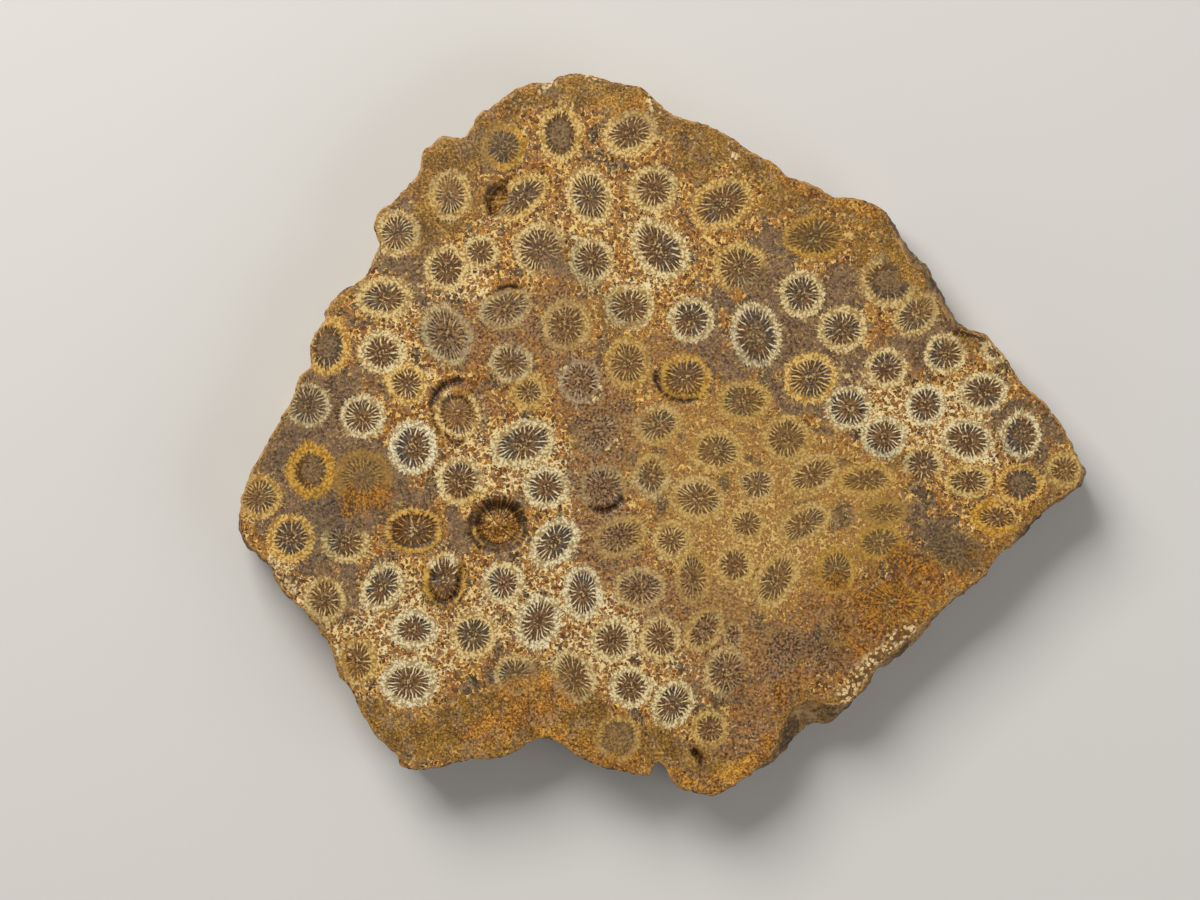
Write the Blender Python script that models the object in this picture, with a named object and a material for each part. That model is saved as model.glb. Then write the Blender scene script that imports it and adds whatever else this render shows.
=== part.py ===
"""A polished slab of silicified fossil coral, lying on its sawn back.

Metres, +Z up. The polished face is level and on top, the sawn back rests at Z = 0, and the rim
between them is the natural, uneven outside of the stone. The origin is under the middle of the slab.
"""

from math import radians

import bmesh
import bpy
from mathutils import Matrix, Vector, noise

# Driving dimensions.
SLAB_WIDTH = 0.1503
SLAB_THICKNESS = 0.014
RIM_STEP = 0.0023  # between two points of the rim
WORN_EDGE = 0.0004  # the round worn on the polished face's edge
BACK_UNDERCUT = 0.0011  # how far the sawn back stays inside the face's edge
LUMP_HEIGHT = 0.0008  # of the rough outside
LUMP_SPACING = 0.006
LUMP_LEVEL = -0.25  # most of the rough outside is hollowed below its lumps
ROUGH_RIM = 0.00035  # how far the face's edge wanders
ROUGH_RIM_SPACING = 0.004
NORMAL_REACH = 2  # rim points to either side that give the outward direction

# The slab is drawn on a sheet whose x runs right and whose y runs down, SHEET_WIDTH units to its width.
SHEET_WIDTH = 859.0
UNIT = SLAB_WIDTH / SHEET_WIDTH
MILLIMETRE = 0.001

# The polished face's edge, from the left tip over the top: x, y, and how many millimetres
# the rough outside stands out beyond the edge there.
RIM = [
    (238, 500, 0.5), (247, 476, 0.4), (262, 447, 0.0), (276, 422, 0.0), (289, 399, 0.0),
    (298, 377, 0.0), (308, 365, 0.0), (306, 350, 0.0), (311, 336, 0.0), (322, 320, 0.0),
    (322, 312, 0.0), (332, 299, 0.0), (342, 289, 0.0), (356, 281, 0.0), (365, 272, 0.0),
    (373, 257, 0.0), (377, 243, 0.0), (372, 226, 0.0), (377, 209, 0.0), (388, 204, 0.0),
    (401, 190, 0.0), (412, 179, 0.0), (418, 166, 0.0), (419, 153, 0.0), (430, 144, 0.0),
    (440, 137, 0.0), (459, 138, 0.0), (468, 129, 0.0), (477, 114, 0.0), (490, 107, 0.0),
    (502, 97, 0.0), (516, 87, 0.0), (531, 82, 0.0), (545, 82, 0.0), (556, 76, 0.0),
    (576, 73, 0.0), (605, 78, 0.0), (622, 83, 0.0), (639, 86, 0.0), (652, 98, 0.0),
    (664, 109, 0.0), (684, 119, 0.0), (717, 129, 0.0), (744, 148, 0.0), (771, 162, 0.0),
    (783, 173, 0.0), (818, 188, 0.0), (831, 196, 0.0), (849, 197, 0.0), (876, 206, 0.1),
    (885, 214, 0.4), (889, 226, 1.2), (896, 238, 1.5), (904, 252, 2.0), (911, 265, 2.5),
    (922, 274, 1.8), (926, 289, 2.3), (936, 299, 1.6), (944, 313, 1.3), (954, 325, 1.1),
    (970, 331, 0.9), (984, 336, 1.0), (995, 346, 0.9), (1004, 358, 0.7), (1018, 381, 0.5),
    (1028, 390, 0.4), (1040, 400, 0.5), (1050, 412, 0.6), (1066, 436, 0.5), (1077, 459, 0.8),
    (1080, 470, 1.9), (1078, 481, 1.4), (1069, 491, 1.2), (1044, 508, 1.0), (1021, 530, 1.2),
    (1001, 552, 1.1), (983, 574, 1.2), (970, 585, 1.0), (943, 604, 1.0), (924, 622, 1.6),
    (902, 641, 2.3), (883, 660, 2.0), (873, 668, 1.4), (867, 680, 1.0), (852, 698, 0.8),
    (840, 704, 2.0), (825, 704, 4.3), (808, 701, 5.2), (794, 706, 5.2), (786, 717, 4.6),
    (780, 730, 3.3), (776, 742, 2.2), (770, 755, 1.7), (749, 775, 0.9), (723, 790, 0.5),
    (711, 795, 0.0), (690, 792, 0.0), (677, 788, 0.0), (669, 779, 0.0), (664, 768, 0.0),
    (657, 762, 0.0), (651, 764, 0.0), (648, 773, 0.0), (636, 775, 0.0), (600, 766, 0.0),
    (582, 760, 0.0), (556, 742, 0.0), (545, 737, 0.0), (530, 741, 0.0), (501, 756, 0.0),
    (467, 760, 0.0), (427, 768, 0.0), (410, 768, 0.0), (398, 764, 0.0), (395, 755, 0.0),
    (384, 746, 0.0), (365, 722, 0.0), (346, 686, 0.0), (336, 673, 0.0), (331, 658, 0.0),
    (326, 644, 0.0), (309, 619, 0.4), (291, 600, 0.4), (273, 579, 0.5), (269, 567, 0.6),
    (261, 558, 1.0), (251, 550, 1.2), (243, 541, 1.4), (238, 528, 1.2), (240, 513, 0.8),
]

# Levels of the rough outside below the worn edge: height as a share of the thickness, and how
# much of the outward reach and of the lumps each one takes.
SIDE_LEVELS = [(0.74, 0.60, 0.7), (0.48, 1.00, 1.0), (0.22, 0.80, 1.0)]

# Corallites that weathered out and left hollows in the face: x, y, half length and half width
# on the sheet, turn in degrees, and depth in millimetres.
HOLLOWS = [
    (497, 526, 30, 28, 0, 2.4),
    (414, 531, 27, 20, 0, 1.3),
    (444, 581, 18, 22, 0, 1.5),
    (458, 413, 19, 22, 0, 1.2),
    (607, 505, 20, 6, 24, 0.9),
    (698, 757, 10, 5, -55, 1.6),
]
HOLLOW_SEGMENTS = 24
HOLLOW_RINGS = 10

STONE_COLOUR = (0.30, 0.19, 0.09, 1.0)
STONE_ROUGHNESS = 0.35


def on_sheet(x, y):
    """A point of the sheet as a place in the slab's plane."""
    return Vector((x * UNIT, -y * UNIT, 0.0))


def between(before, start, end, after, share):
    """A point of the smooth curve from start to end, for whole vectors."""
    square, cube = share * share, share * share * share
    return 0.5 * (
        2 * start
        + (end - before) * share
        + (2 * before - 5 * start + 4 * end - after) * square
        + (3 * start - before - 3 * end + after) * cube
    )


def rim_points():
    """The rim as evenly spaced vectors: x and y of the face's edge, and in z its outward reach."""
    drawn = []
    for x, y, reach in RIM:
        place = on_sheet(x, y)
        drawn.append(Vector((place.x, place.y, reach * MILLIMETRE)))
    points = []
    count = len(drawn)
    for i, start in enumerate(drawn):
        end = drawn[(i + 1) % count]
        pieces = max(1, round((end.xy - start.xy).length / RIM_STEP))
        for piece in range(pieces):
            points.append(between(drawn[i - 1], start, end, drawn[(i + 2) % count], piece / pieces))
    return points


def outward_directions(points):
    """The level direction out of the stone at each rim point. The rim runs clockwise from above."""
    count = len(points)
    directions = []
    for i in range(count):
        along = points[(i + NORMAL_REACH) % count] - points[i - NORMAL_REACH]
        directions.append(Vector((-along.y, along.x, 0.0)).normalized())
    return directions


def wander(place, spacing):
    """A smooth unevenness between -1 and 1 that changes over about the given spacing."""
    return noise.noise(place / spacing)


def slab_rings():
    """The slab's outline at each level, from the polished face down to the sawn back."""
    points = rim_points()
    directions = outward_directions(points)
    face, edge, back = [], [], []
    sides = [[] for _ in SIDE_LEVELS]
    for point, out in zip(points, directions):
        base = Vector((point.x, point.y, 0.0))
        base += out * wander(base, ROUGH_RIM_SPACING) * ROUGH_RIM
        face.append(base - out * WORN_EDGE + Vector((0, 0, SLAB_THICKNESS)))
        edge.append(base + Vector((0, 0, SLAB_THICKNESS - WORN_EDGE)))
        for ring, (height, reach_share, lump_share) in zip(sides, SIDE_LEVELS):
            place = base + Vector((0, 0, height * SLAB_THICKNESS))
            lump = (wander(place, LUMP_SPACING) + LUMP_LEVEL) * LUMP_HEIGHT * lump_share
            ring.append(place + out * (point.z * reach_share + lump))
        back.append(base + out * (0.5 * point.z - BACK_UNDERCUT))
    return [face, edge, *sides, back]


def to_object(name, bm):
    """Makes an object of the mesh in bm."""
    mesh = bpy.data.meshes.new(name)
    bm.to_mesh(mesh)
    bm.free()
    obj = bpy.data.objects.new(name, mesh)
    bpy.context.scene.collection.objects.link(obj)
    return obj


def make_slab_body():
    """The slab with its face still whole: level rings joined from the face down to the back."""
    bm = bmesh.new()
    rings = [[bm.verts.new(place) for place in ring] for ring in slab_rings()]
    bm.faces.new(rings[0])
    bm.faces.new(rings[-1])
    for upper, lower in zip(rings, rings[1:]):
        for i in range(len(upper)):
            bm.faces.new((upper[i - 1], upper[i], lower[i], lower[i - 1]))
    bmesh.ops.triangulate(bm, faces=bm.faces[:])
    bmesh.ops.recalc_face_normals(bm, faces=bm.faces[:])
    return to_object("coral_slab", bm)


def make_hollow_cutter():
    """One mesh of separate ellipsoids, sunk to their middles in the face."""
    bm = bmesh.new()
    for x, y, half_length, half_width, turn, depth in HOLLOWS:
        place = on_sheet(x, y) + Vector((0, 0, SLAB_THICKNESS))
        size = Matrix.Diagonal((half_length * UNIT, half_width * UNIT, depth * MILLIMETRE, 1.0))
        bmesh.ops.create_uvsphere(
            bm,
            u_segments=HOLLOW_SEGMENTS,
            v_segments=HOLLOW_RINGS,
            radius=1.0,
            matrix=Matrix.Translation(place) @ Matrix.Rotation(radians(turn), 4, "Z") @ size,
        )
    cutter = to_object("hollow_cutter", bm)
    cutter.hide_render = True
    cutter.display_type = "WIRE"
    return cutter


def cut_hollows(slab, cutter):
    """Takes the hollows out of the polished face."""
    cut = slab.modifiers.new("hollows", "BOOLEAN")
    cut.operation = "DIFFERENCE"
    cut.solver = "EXACT"
    cut.object = cutter


def centre(objects, slab):
    """Moves the objects so that the slab's middle is over the origin."""
    xs = [vertex.co.x for vertex in slab.data.vertices]
    ys = [vertex.co.y for vertex in slab.data.vertices]
    middle = Vector(((min(xs) + max(xs)) / 2, (min(ys) + max(ys)) / 2, 0.0))
    for obj in objects:
        obj.data.transform(Matrix.Translation(-middle))


def make_stone():
    """The stone's plain material."""
    stone = bpy.data.materials.new("polished_coral_stone")
    stone.use_nodes = True
    shader = stone.node_tree.nodes["Principled BSDF"]
    shader.inputs["Base Color"].default_value = STONE_COLOUR
    shader.inputs["Roughness"].default_value = STONE_ROUGHNESS
    shader.inputs["Metallic"].default_value = 0.0
    return stone


def main():
    for obj in list(bpy.data.objects):
        bpy.data.objects.remove(obj)
    slab = make_slab_body()
    slab.data.materials.append(make_stone())
    cutter = make_hollow_cutter()
    centre([slab, cutter], slab)
    cut_hollows(slab, cutter)


main()
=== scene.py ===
"""Looks of the fossil coral slab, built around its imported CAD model.

The slab lies on its sawn back with its polished face up, and the camera looks straight down on it.
Its body is made again, finer, over the CAD solid's own outline rings. Each corallite is drawn by the
stone's material at its own place: the mesh carries, for every face corner, where that corner lies in
the nearest corallite, and its vertices carry the softer stains and crusts.
"""

from collections import defaultdict
from math import pi
from types import SimpleNamespace

import bpy
import numpy as np
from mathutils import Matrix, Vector, noise
from mathutils.geometry import delaunay_2d_cdt
from mathutils.kdtree import KDTree


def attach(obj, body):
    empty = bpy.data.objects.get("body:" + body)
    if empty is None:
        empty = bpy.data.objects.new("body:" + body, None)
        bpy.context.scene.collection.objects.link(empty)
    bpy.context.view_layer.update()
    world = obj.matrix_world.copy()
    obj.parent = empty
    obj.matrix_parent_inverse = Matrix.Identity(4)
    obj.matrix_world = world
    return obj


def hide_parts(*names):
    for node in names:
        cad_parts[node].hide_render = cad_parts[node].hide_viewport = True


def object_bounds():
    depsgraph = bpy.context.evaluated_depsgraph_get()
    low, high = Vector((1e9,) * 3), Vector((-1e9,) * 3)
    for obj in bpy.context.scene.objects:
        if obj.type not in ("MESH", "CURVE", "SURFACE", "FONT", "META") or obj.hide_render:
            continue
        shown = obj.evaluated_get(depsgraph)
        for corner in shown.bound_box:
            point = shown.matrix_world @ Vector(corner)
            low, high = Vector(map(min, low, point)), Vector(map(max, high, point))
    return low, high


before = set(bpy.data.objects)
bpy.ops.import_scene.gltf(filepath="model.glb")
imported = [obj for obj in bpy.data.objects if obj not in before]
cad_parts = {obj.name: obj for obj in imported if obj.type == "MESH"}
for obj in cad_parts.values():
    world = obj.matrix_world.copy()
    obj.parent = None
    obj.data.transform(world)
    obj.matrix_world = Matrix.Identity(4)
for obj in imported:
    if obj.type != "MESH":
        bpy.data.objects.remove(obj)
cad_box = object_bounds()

MM = 0.001

# Places on the slab are given on a sheet whose x runs right and whose y runs down. These are the
# sheet's values at the edges of the CAD solid's box.
SHEET_LEFT, SHEET_RIGHT, SHEET_TOP = 233.4, 1091.6, 73.0
UNIT = (cad_box[1].x - cad_box[0].x) / (SHEET_RIGHT - SHEET_LEFT)
THICKNESS = cad_box[1].z

# The corallites: x and y of the middle, half length and half width inside the wall, turn in degrees
# counter-clockwise, width of the wall's ring, how ochre the ring is, and how veiled by clear stone.
CORALLITES = [
    (450, 195, 15, 19, 0, 7.5, 0.35, 0.05), (503, 146, 16, 17, 0, 7.5, 0.9, 0.3),
    (560, 134, 15.5, 22, 0, 7, 0.4, 0.15), (630, 133, 20, 15, 20, 9, 0.35, 0.1),
    (522, 197, 24, 12, 40, 7.5, 0.4, 0.15), (589, 196, 22, 16, 105, 8, 0.3, 0),
    (654, 189, 17, 16.5, 0, 8.5, 0.3, 0.15), (722, 204, 26, 17, 30, 8.5, 0.5, 0.2),
    (397, 233, 16, 17, 0, 8, 0.3, 0.1), (385, 298, 20, 14, 0, 8.5, 0.3, 0.1),
    (382, 353, 16, 15, 0, 8.5, 0.2, 0), (327, 346, 16, 22, 0, 8.5, 0.7, 0.05),
    (447, 268, 15.5, 17, 0, 7.5, 0.3, 0.1), (481, 252, 13, 12, 0, 6, 0.3, 0.1),
    (540, 250, 20, 21, 0, 7, 0.25, 0.2), (592, 261, 16, 17, 0, 7.5, 0.25, 0.1),
    (506, 308, 22, 14, 25, 6, 0.2, 0.6), (447, 335, 26, 18, 115, 7, 0.15, 0.65),
    (566, 325, 20, 17, 70, 8, 0.35, 0.5), (630, 306, 19, 16, 0, 7.5, 0.25, 0.1),
    (511, 363, 17, 15, 0, 6, 0.15, 0.55), (628, 363, 16, 19, 0, 8, 0.5, 0.4),
    (660, 250, 27, 17, 130, 9, 0.2, 0), (740, 268, 21, 20, 0, 7.5, 0.4, 0.25),
    (691, 320, 17, 17, 0, 7.5, 0.15, 0.1), (802, 294, 16, 16.5, 0, 8, 0.2, 0.1),
    (815, 237, 26, 17, 0, 6, 0.9, 0.55), (756, 335, 27, 19, 105, 7, 0.1, 0.1),
    (842, 329, 18, 16, 0, 8, 0.25, 0.1), (889, 281, 22, 19, 0, 9, 0.3, 0.3),
    (916, 314, 20, 14, 40, 6, 0.3, 0.3), (945, 354, 15.5, 15, 0, 6, 0.2, 0.05),
    (995, 351, 8, 7, 0, 7, 0.2, 0.1), (886, 368, 15, 14, 0, 7, 0.25, 0.1),
    (407, 384, 14, 14, 0, 7.5, 0.45, 0), (810, 378, 20, 19, 0, 8, 0.5, 0.05),
    (685, 378, 20, 17, 0, 8, 0.8, 0.2), (984, 392, 19, 15, 0, 6.2, 0.15, 0),
    (529, 392, 12, 11, 0, 8, 0.5, 0.5), (580, 381, 17, 18, 0, 5, 0, 0.7),
    (744, 401, 21, 15, 0, 8, 0.5, 0.55), (926, 405, 14.5, 16, 0, 6, 0.1, 0),
    (1021, 435, 15, 18, 0, 6, 0.1, 0.05), (967, 440, 20, 16, -15, 7, 0.15, 0),
    (884, 437, 18, 15.5, 0, 6.5, 0.1, 0), (849, 408, 18, 17, 0, 6.5, 0.1, 0.05),
    (308, 405, 18, 18, 0, 5, 0.1, 0.6), (362, 417, 17, 16, 0, 7, 0.1, 0.1),
    (458, 413, 21, 17, 115, 6, 0.35, 0), (413, 447, 17, 20.5, 0, 8, 0, 0),
    (523, 443, 26, 16, 20, 8.5, 0.15, 0), (598, 431, 20, 17, 30, 7, 0.2, 0.85),
    (658, 425, 18, 14, 15, 8, 0.3, 0.4), (717, 451, 20, 15.5, 0, 8, 0.4, 0.3),
    (786, 438, 18, 17, 0, 7, 0.4, 0.35), (311, 471, 15, 18, 0, 10.5, 1, 0.3),
    (362, 478, 22, 19, 0, 9, 1, 0.8), (460, 481, 17, 18, 0, 8, 0.2, 0),
    (546, 487, 17, 15, 0, 7.5, 0.1, 0), (651, 476, 13, 16, 0, 7.5, 0.2, 0.5),
    (603, 488, 18, 19, 0, 6, 0.2, 0.7), (698, 499, 21, 15.5, -10, 8, 0.35, 0.25),
    (757, 484, 14, 13, 0, 6, 0.35, 0.3), (812, 475, 22, 12, 30, 7.5, 0.35, 0.25),
    (866, 480, 22, 11, 5, 7, 0.6, 0.35), (923, 465, 15, 15, 0, 6, 0.3, 0.1),
    (1020, 484, 17.5, 15, 0, 6, 0.75, 0.1), (259, 497, 16, 16, 0, 7.5, 0.55, 0.2),
    (291, 538, 17, 17, 0, 8, 0.6, 0), (345, 541, 17, 16, 0, 8, 0.3, 0.15),
    (413, 531, 23.5, 17, 0, 7.5, 0.7, 0.05), (497, 526, 22, 18, 0, 8, 0.9, 0.1),
    (554, 542, 21, 14, 45, 8, 0.05, 0), (620, 537, 22, 14, 20, 7.5, 0.4, 0.65),
    (672, 540, 14, 13, 0, 7.5, 0.35, 0.25), (747, 524, 14, 11.5, 0, 5.5, 0.3, 0.2),
    (804, 524, 22, 12, 30, 7.5, 0.35, 0.3), (969, 481, 18, 11, 0, 6.5, 0.4, 0.15),
    (997, 517, 17, 10, 0, 10, 0.95, 0.15), (735, 565.5, 14, 14, 0, 6, 0.15, 0.05),
    (836, 571, 14.5, 18, 0, 6.5, 0.8, 0.5), (776, 580, 24, 13, 60, 7.5, 0.35, 0.25),
    (693, 578, 12.5, 21, 0, 6.5, 0.45, 0.4), (640, 588, 20, 15.5, 0, 7, 0.3, 0.25),
    (583, 593, 14, 21, 0, 7, 0.05, 0), (503, 583, 14.5, 14.5, 0, 8, 0.15, 0),
    (444, 580, 14, 21, 0, 8, 0.1, 0.05), (382, 587, 20, 13, 55, 7.5, 0.15, 0),
    (325, 600, 15, 17, 0, 7, 0.3, 0.35), (414, 629, 17, 13, 0, 8, 0.05, 0),
    (473, 635, 16.5, 17, 0, 8, 0.3, 0.05), (538, 621, 21, 16, 70, 8, 0.05, 0),
    (613, 640, 16, 16, 0, 7.5, 0.2, 0.05), (660, 639, 14, 18, 0, 7, 0.3, 0.15),
    (704, 630, 19, 11, 55, 7, 0.4, 0.3), (733, 635, 7, 10, 0, 4, 0.3, 0.6),
    (784, 648, 19, 19, 0, 4, 0.6, 0.88), (838, 628, 12, 14, 0, 6, 0.8, 0.8),
    (358, 661, 13, 18, 0, 6.5, 0.4, 0.2), (409, 683, 21, 16.5, 0, 9, 0.05, 0),
    (515, 675, 17, 15, 0, 6, 0.3, 0.4), (574, 677, 22, 14, 115, 7, 0.25, 0.3),
    (630, 687, 15, 15.5, 0, 7, 0.15, 0), (673, 704, 20, 14, 60, 7, 0.15, 0),
    (727, 672, 16.5, 19.5, 0, 7.5, 0.3, 0.25), (710, 729, 13, 13, 0, 7, 0.5, 0.4),
    (618, 738, 18, 18, 0, 6, 0.5, 0.6), (880, 542, 19, 13, 15, 6, 0.8, 0.6),
    (896, 604, 22, 17, 0, 4, 1, 0.5), (955, 549, 22, 16, 0, 4, 0.5, 0.95),
    (1064, 470, 13, 12, 0, 7, 0.4, 0.5), (885, 512, 18, 9, 0, 6, 0.6, 0.8),
]

# Corallites filled with plain smooth stone in their middle: x, y, and the share of the radius.
FILLED = [
    (560, 134, 0.60), (1020, 484, 0.55), (308, 405, 0.25), (327, 346, 0.5), (1021, 435, 0.45),
    (815, 237, 0.35), (362, 478, 0.12), (756, 335, 0.45), (955, 549, 0.4),
    (311, 471, 0.6), (889, 281, 0.6), (618, 738, 0.8),
]

# Corallites whose ring is worn away on one side: x, y, the direction of that side in degrees.
WORN_RINGS = [
    (889, 281, 50), (815, 237, 30), (923, 465, 270), (997, 517, 20), (598, 431, 120), (338, 545, 90),
    (727, 672, 330), (540, 250, 320), (740, 268, 300),
]

# The face's stains, and the painted shade of its hollows. Each row: strength, radius, and the places that
# the stain runs through.
HAZE = [  # ochre haze in the clear stone
    (0.8, 55, [(650, 450), (700, 430), (760, 450), (820, 470), (870, 500)]),
    (0.8, 50, [(690, 520), (750, 540), (810, 560), (850, 530)]),
    (0.7, 40, [(700, 590), (760, 620)]),
    (0.5, 50, [(640, 340), (600, 300), (570, 330)]),
    (0.8, 26, [(735, 590), (745, 540), (785, 510)]),
]

AGATE = [  # clear grey stone
    (1.0, 34, [(300, 420), (275, 460), (320, 510), (345, 500)]),
    (0.9, 26, [(345, 385), (320, 375), (340, 445), (392, 470)]),
    (0.9, 20, [(270, 520), (318, 562), (345, 575), (350, 610)]),
    (0.8, 18, [(318, 530), (400, 500)]),
    (0.35, 30, [(690, 155), (700, 170)]),
    (1.0, 32, [(775, 250), (770, 300), (800, 335), (850, 290)]),
    (0.7, 13, [(775, 365), (780, 400), (795, 412)]),
    (0.8, 13, [(358, 378), (385, 388)]),
    (0.8, 24, [(715, 300), (705, 345), (730, 375)]),
    (0.8, 26, [(950, 300), (920, 350), (860, 360), (835, 410)]),
    (0.7, 25, [(1050, 440), (1045, 410), (1000, 420)]),
    (0.6, 20, [(905, 505), (935, 525)]),
    (0.9, 22, [(945, 540), (970, 555)]),
    (0.9, 17, [(500, 676), (526, 672)]),
    (0.5, 20, [(430, 310), (410, 260), (360, 320)]),
    (0.9, 12, [(455, 512), (460, 545)]),
    (0.8, 9, [(527, 503), (520, 498)]),
    (0.8, 10, [(430, 498), (400, 505)]),
    (0.8, 9, [(486, 597), (500, 560)]),
    (0.7, 8, [(376, 565), (398, 602)]),
    (0.7, 9, [(560, 515), (575, 560)]),
    (0.45, 20, [(440, 225), (470, 200), (480, 170)]),
    (0.9, 16, [(400, 205), (425, 240), (425, 270), (395, 262)]),
    (1.0, 13, [(545, 258), (560, 270)]),
]

MAUVE = [  # clear brownish mauve stone
    (0.8, 30, [(470, 345), (495, 325), (530, 340), (570, 360), (600, 400)]),
    (1.0, 34, [(590, 400), (610, 430), (590, 470), (600, 500), (610, 560), (660, 600)]),
    (1.0, 34, [(735, 640), (755, 680), (790, 650), (770, 710), (740, 750)]),
    (0.6, 22, [(700, 655), (700, 690)]),
    (0.6, 30, [(690, 610), (730, 600)]),
    (0.7, 25, [(660, 350), (700, 345), (740, 370)]),
    (0.7, 40, [(830, 610), (900, 640), (850, 660)]),
    (0.8, 18, [(565, 285), (545, 300), (575, 300)]),
    (0.9, 14, [(484, 148), (490, 162)]),
    (0.8, 12, [(482, 402), (500, 408)]),
    (0.7, 20, [(447, 335), (450, 320)]),
]

CRUST = [  # ochre crust
    (1.0, 16, [(425, 155), (455, 150), (485, 118), (515, 100), (560, 86), (605, 88), (640, 100)]),
    (1.0, 22, [(600, 95), (660, 120), (690, 130)]),
    (1.0, 15, [(700, 133), (745, 159), (790, 179), (840, 200), (878, 216), (895, 242)]),
    (0.9, 12, [(895, 250), (915, 285), (935, 310)]),
    (0.9, 22, [(500, 128), (460, 160), (430, 195), (425, 235)]),
    (0.7, 16, [(430, 232), (462, 226), (482, 192)]),
    (0.7, 20, [(680, 160), (708, 168)]),
    (0.7, 18, [(772, 200), (800, 208)]),
    (0.7, 14, [(864, 240), (862, 262)]),
    (1.1, 9, [(502, 692), (540, 676), (576, 704), (600, 712)]),
    (1.4, 11, [(558, 685), (572, 691), (586, 702)]),
    (1.0, 26, [(450, 722), (505, 708), (545, 692), (560, 720)]),
    (1.0, 24, [(470, 745), (520, 725), (570, 730), (620, 745), (660, 745), (700, 775), (745, 775)]),
    (0.9, 20, [(400, 745), (370, 715), (430, 745)]),
    (0.8, 8, [(350, 690), (335, 655), (310, 610)]),
    (0.7, 9, [(240, 505), (262, 450), (300, 385), (312, 330), (360, 280), (378, 215), (415, 170)]),
    (0.7, 9, [(1075, 470), (1040, 505), (1000, 545), (960, 585), (910, 630), (860, 680)]),
    (0.6, 12, [(845, 700), (800, 695), (780, 735), (750, 775)]),
    (0.8, 16, [(965, 335), (980, 345)]),
]

IRON = [  # orange iron stain
    (1.1, 20, [(900, 560), (918, 575), (908, 598)]),
    (0.9, 28, [(835, 590), (880, 610), (860, 640), (900, 625)]),
    (1.2, 13, [(352, 498), (368, 503), (382, 498)]),
    (0.7, 9, [(348, 512)]),
    (0.4, 14, [(312, 470)]),
    (0.8, 13, [(780, 690), (785, 700)]),
    (0.5, 30, [(940, 600), (980, 560)]),
    (0.6, 10, [(980, 530), (1000, 540)]),
    (0.5, 12, [(530, 85), (480, 125)]),
    (1.2, 5, [(494, 293), (508, 289), (521, 292)]),
    (1.7, 6, [(458, 393), (466, 389), (472, 384)]),
    (0.6, 12, [(345, 640), (350, 690)]),
    (1.2, 18, [(480, 738), (520, 712), (545, 715)]),
    (1.1, 9, [(504, 694), (518, 687), (540, 678), (556, 688), (570, 700)]),
    (0.8, 14, [(560, 740), (600, 760), (640, 765)]),
    (0.9, 14, [(675, 775), (705, 785), (740, 778), (770, 745)]),
    (0.7, 12, [(590, 105), (640, 105)]),
    (0.8, 9, [(775, 175), (830, 200), (880, 215)]),
]

AMBER = [  # golden brown, on corallites only
    (1.4, 36, [(497, 527)]),
    (1.5, 15, [(458, 413)]),
    (1.3, 16, [(306, 472)]),
    (1.3, 7, [(426, 573), (424, 584), (430, 598), (444, 606), (458, 598), (465, 584), (465, 570)]),
    (0.9, 12, [(440, 596), (450, 596)]),
    (0.9, 14, [
        (396, 524), (392, 536), (402, 549), (420, 552), (437, 545), (442, 530), (430, 511), (406, 509),
    ]),
    (0.4, 20, [(685, 378)]),
    (1.2, 8, [(660, 370), (661, 386), (672, 399), (690, 402), (706, 392)]),
    (0.6, 14, [(603, 505)]),
    (0.5, 14, [(362, 417)]),
    (0.5, 12, [(382, 298)]),
    (0.6, 14, [(456, 492)]),
    (0.7, 12, [(498, 199)]),
]

HOLLOW_SHADE = [  # painted shade: dark brown along the hollows' edges and in the small pits, strongest on the big pit's upper wall
    (1.6, 5.5, [(474, 520), (479, 509), (491, 502), (506, 502), (517, 508), (522, 520)]),
    (1.1, 3.0, [(525, 520), (525, 534), (515, 547), (498, 552), (480, 547), (470, 534), (472, 516)]),
    (1.2, 3.0, [(480, 536), (487, 543), (498, 546), (509, 543), (516, 535)]),
    (1.0, 3.5, [(590, 506), (598, 511), (606, 512), (616, 507), (622, 499)]),
    (1.2, 3.5, [(460, 565), (460, 575), (458, 586), (455, 595), (446, 603), (437, 600)]),
    (1.0, 2.0, [(428, 569), (433, 572), (434, 580)]),
    (0.9, 1.6, [(421, 578), (422, 590), (430, 602), (442, 609), (456, 605), (466, 592)]),
    (1.3, 4.5, [(434, 400), (437, 390), (446, 383), (458, 381)]),
    (1.0, 2.2, [(431, 398), (431, 412), (435, 425), (444, 435), (455, 441), (466, 440)]),
    (0.7, 2.0, [(440, 405), (446, 400)]),
    (0.8, 3.0, [(393, 538), (402, 545), (414, 547), (426, 545), (434, 539)]),
    (0.9, 2.5, [(656, 372), (656, 382), (662, 392), (672, 399), (686, 402), (698, 398)]),
    (1.2, 2.5, [(486, 206), (487, 194), (496, 183), (508, 180)]),
    (0.9, 2.0, [(490, 214), (500, 214), (508, 205)]),
    (0.8, 2.5, [(497, 290), (508, 286), (522, 288)]),
    (1.0, 3.0, [(544, 594)]),
    (1.0, 3.0, [(672, 650)]),
    (0.8, 4.0, [(861, 412)]),
    (0.8, 3.0, [(478, 474)]),
    (0.8, 3.0, [(596, 396)]),
    (1.0, 5.0, [(693, 749), (702, 764)]),
    (0.7, 3.0, [(515, 347)]),
    (0.7, 2.0, [(339, 405), (337, 417), (341, 428)]),
    (0.9, 5.0, [(955, 333), (970, 333), (984, 338)]),
]

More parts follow.
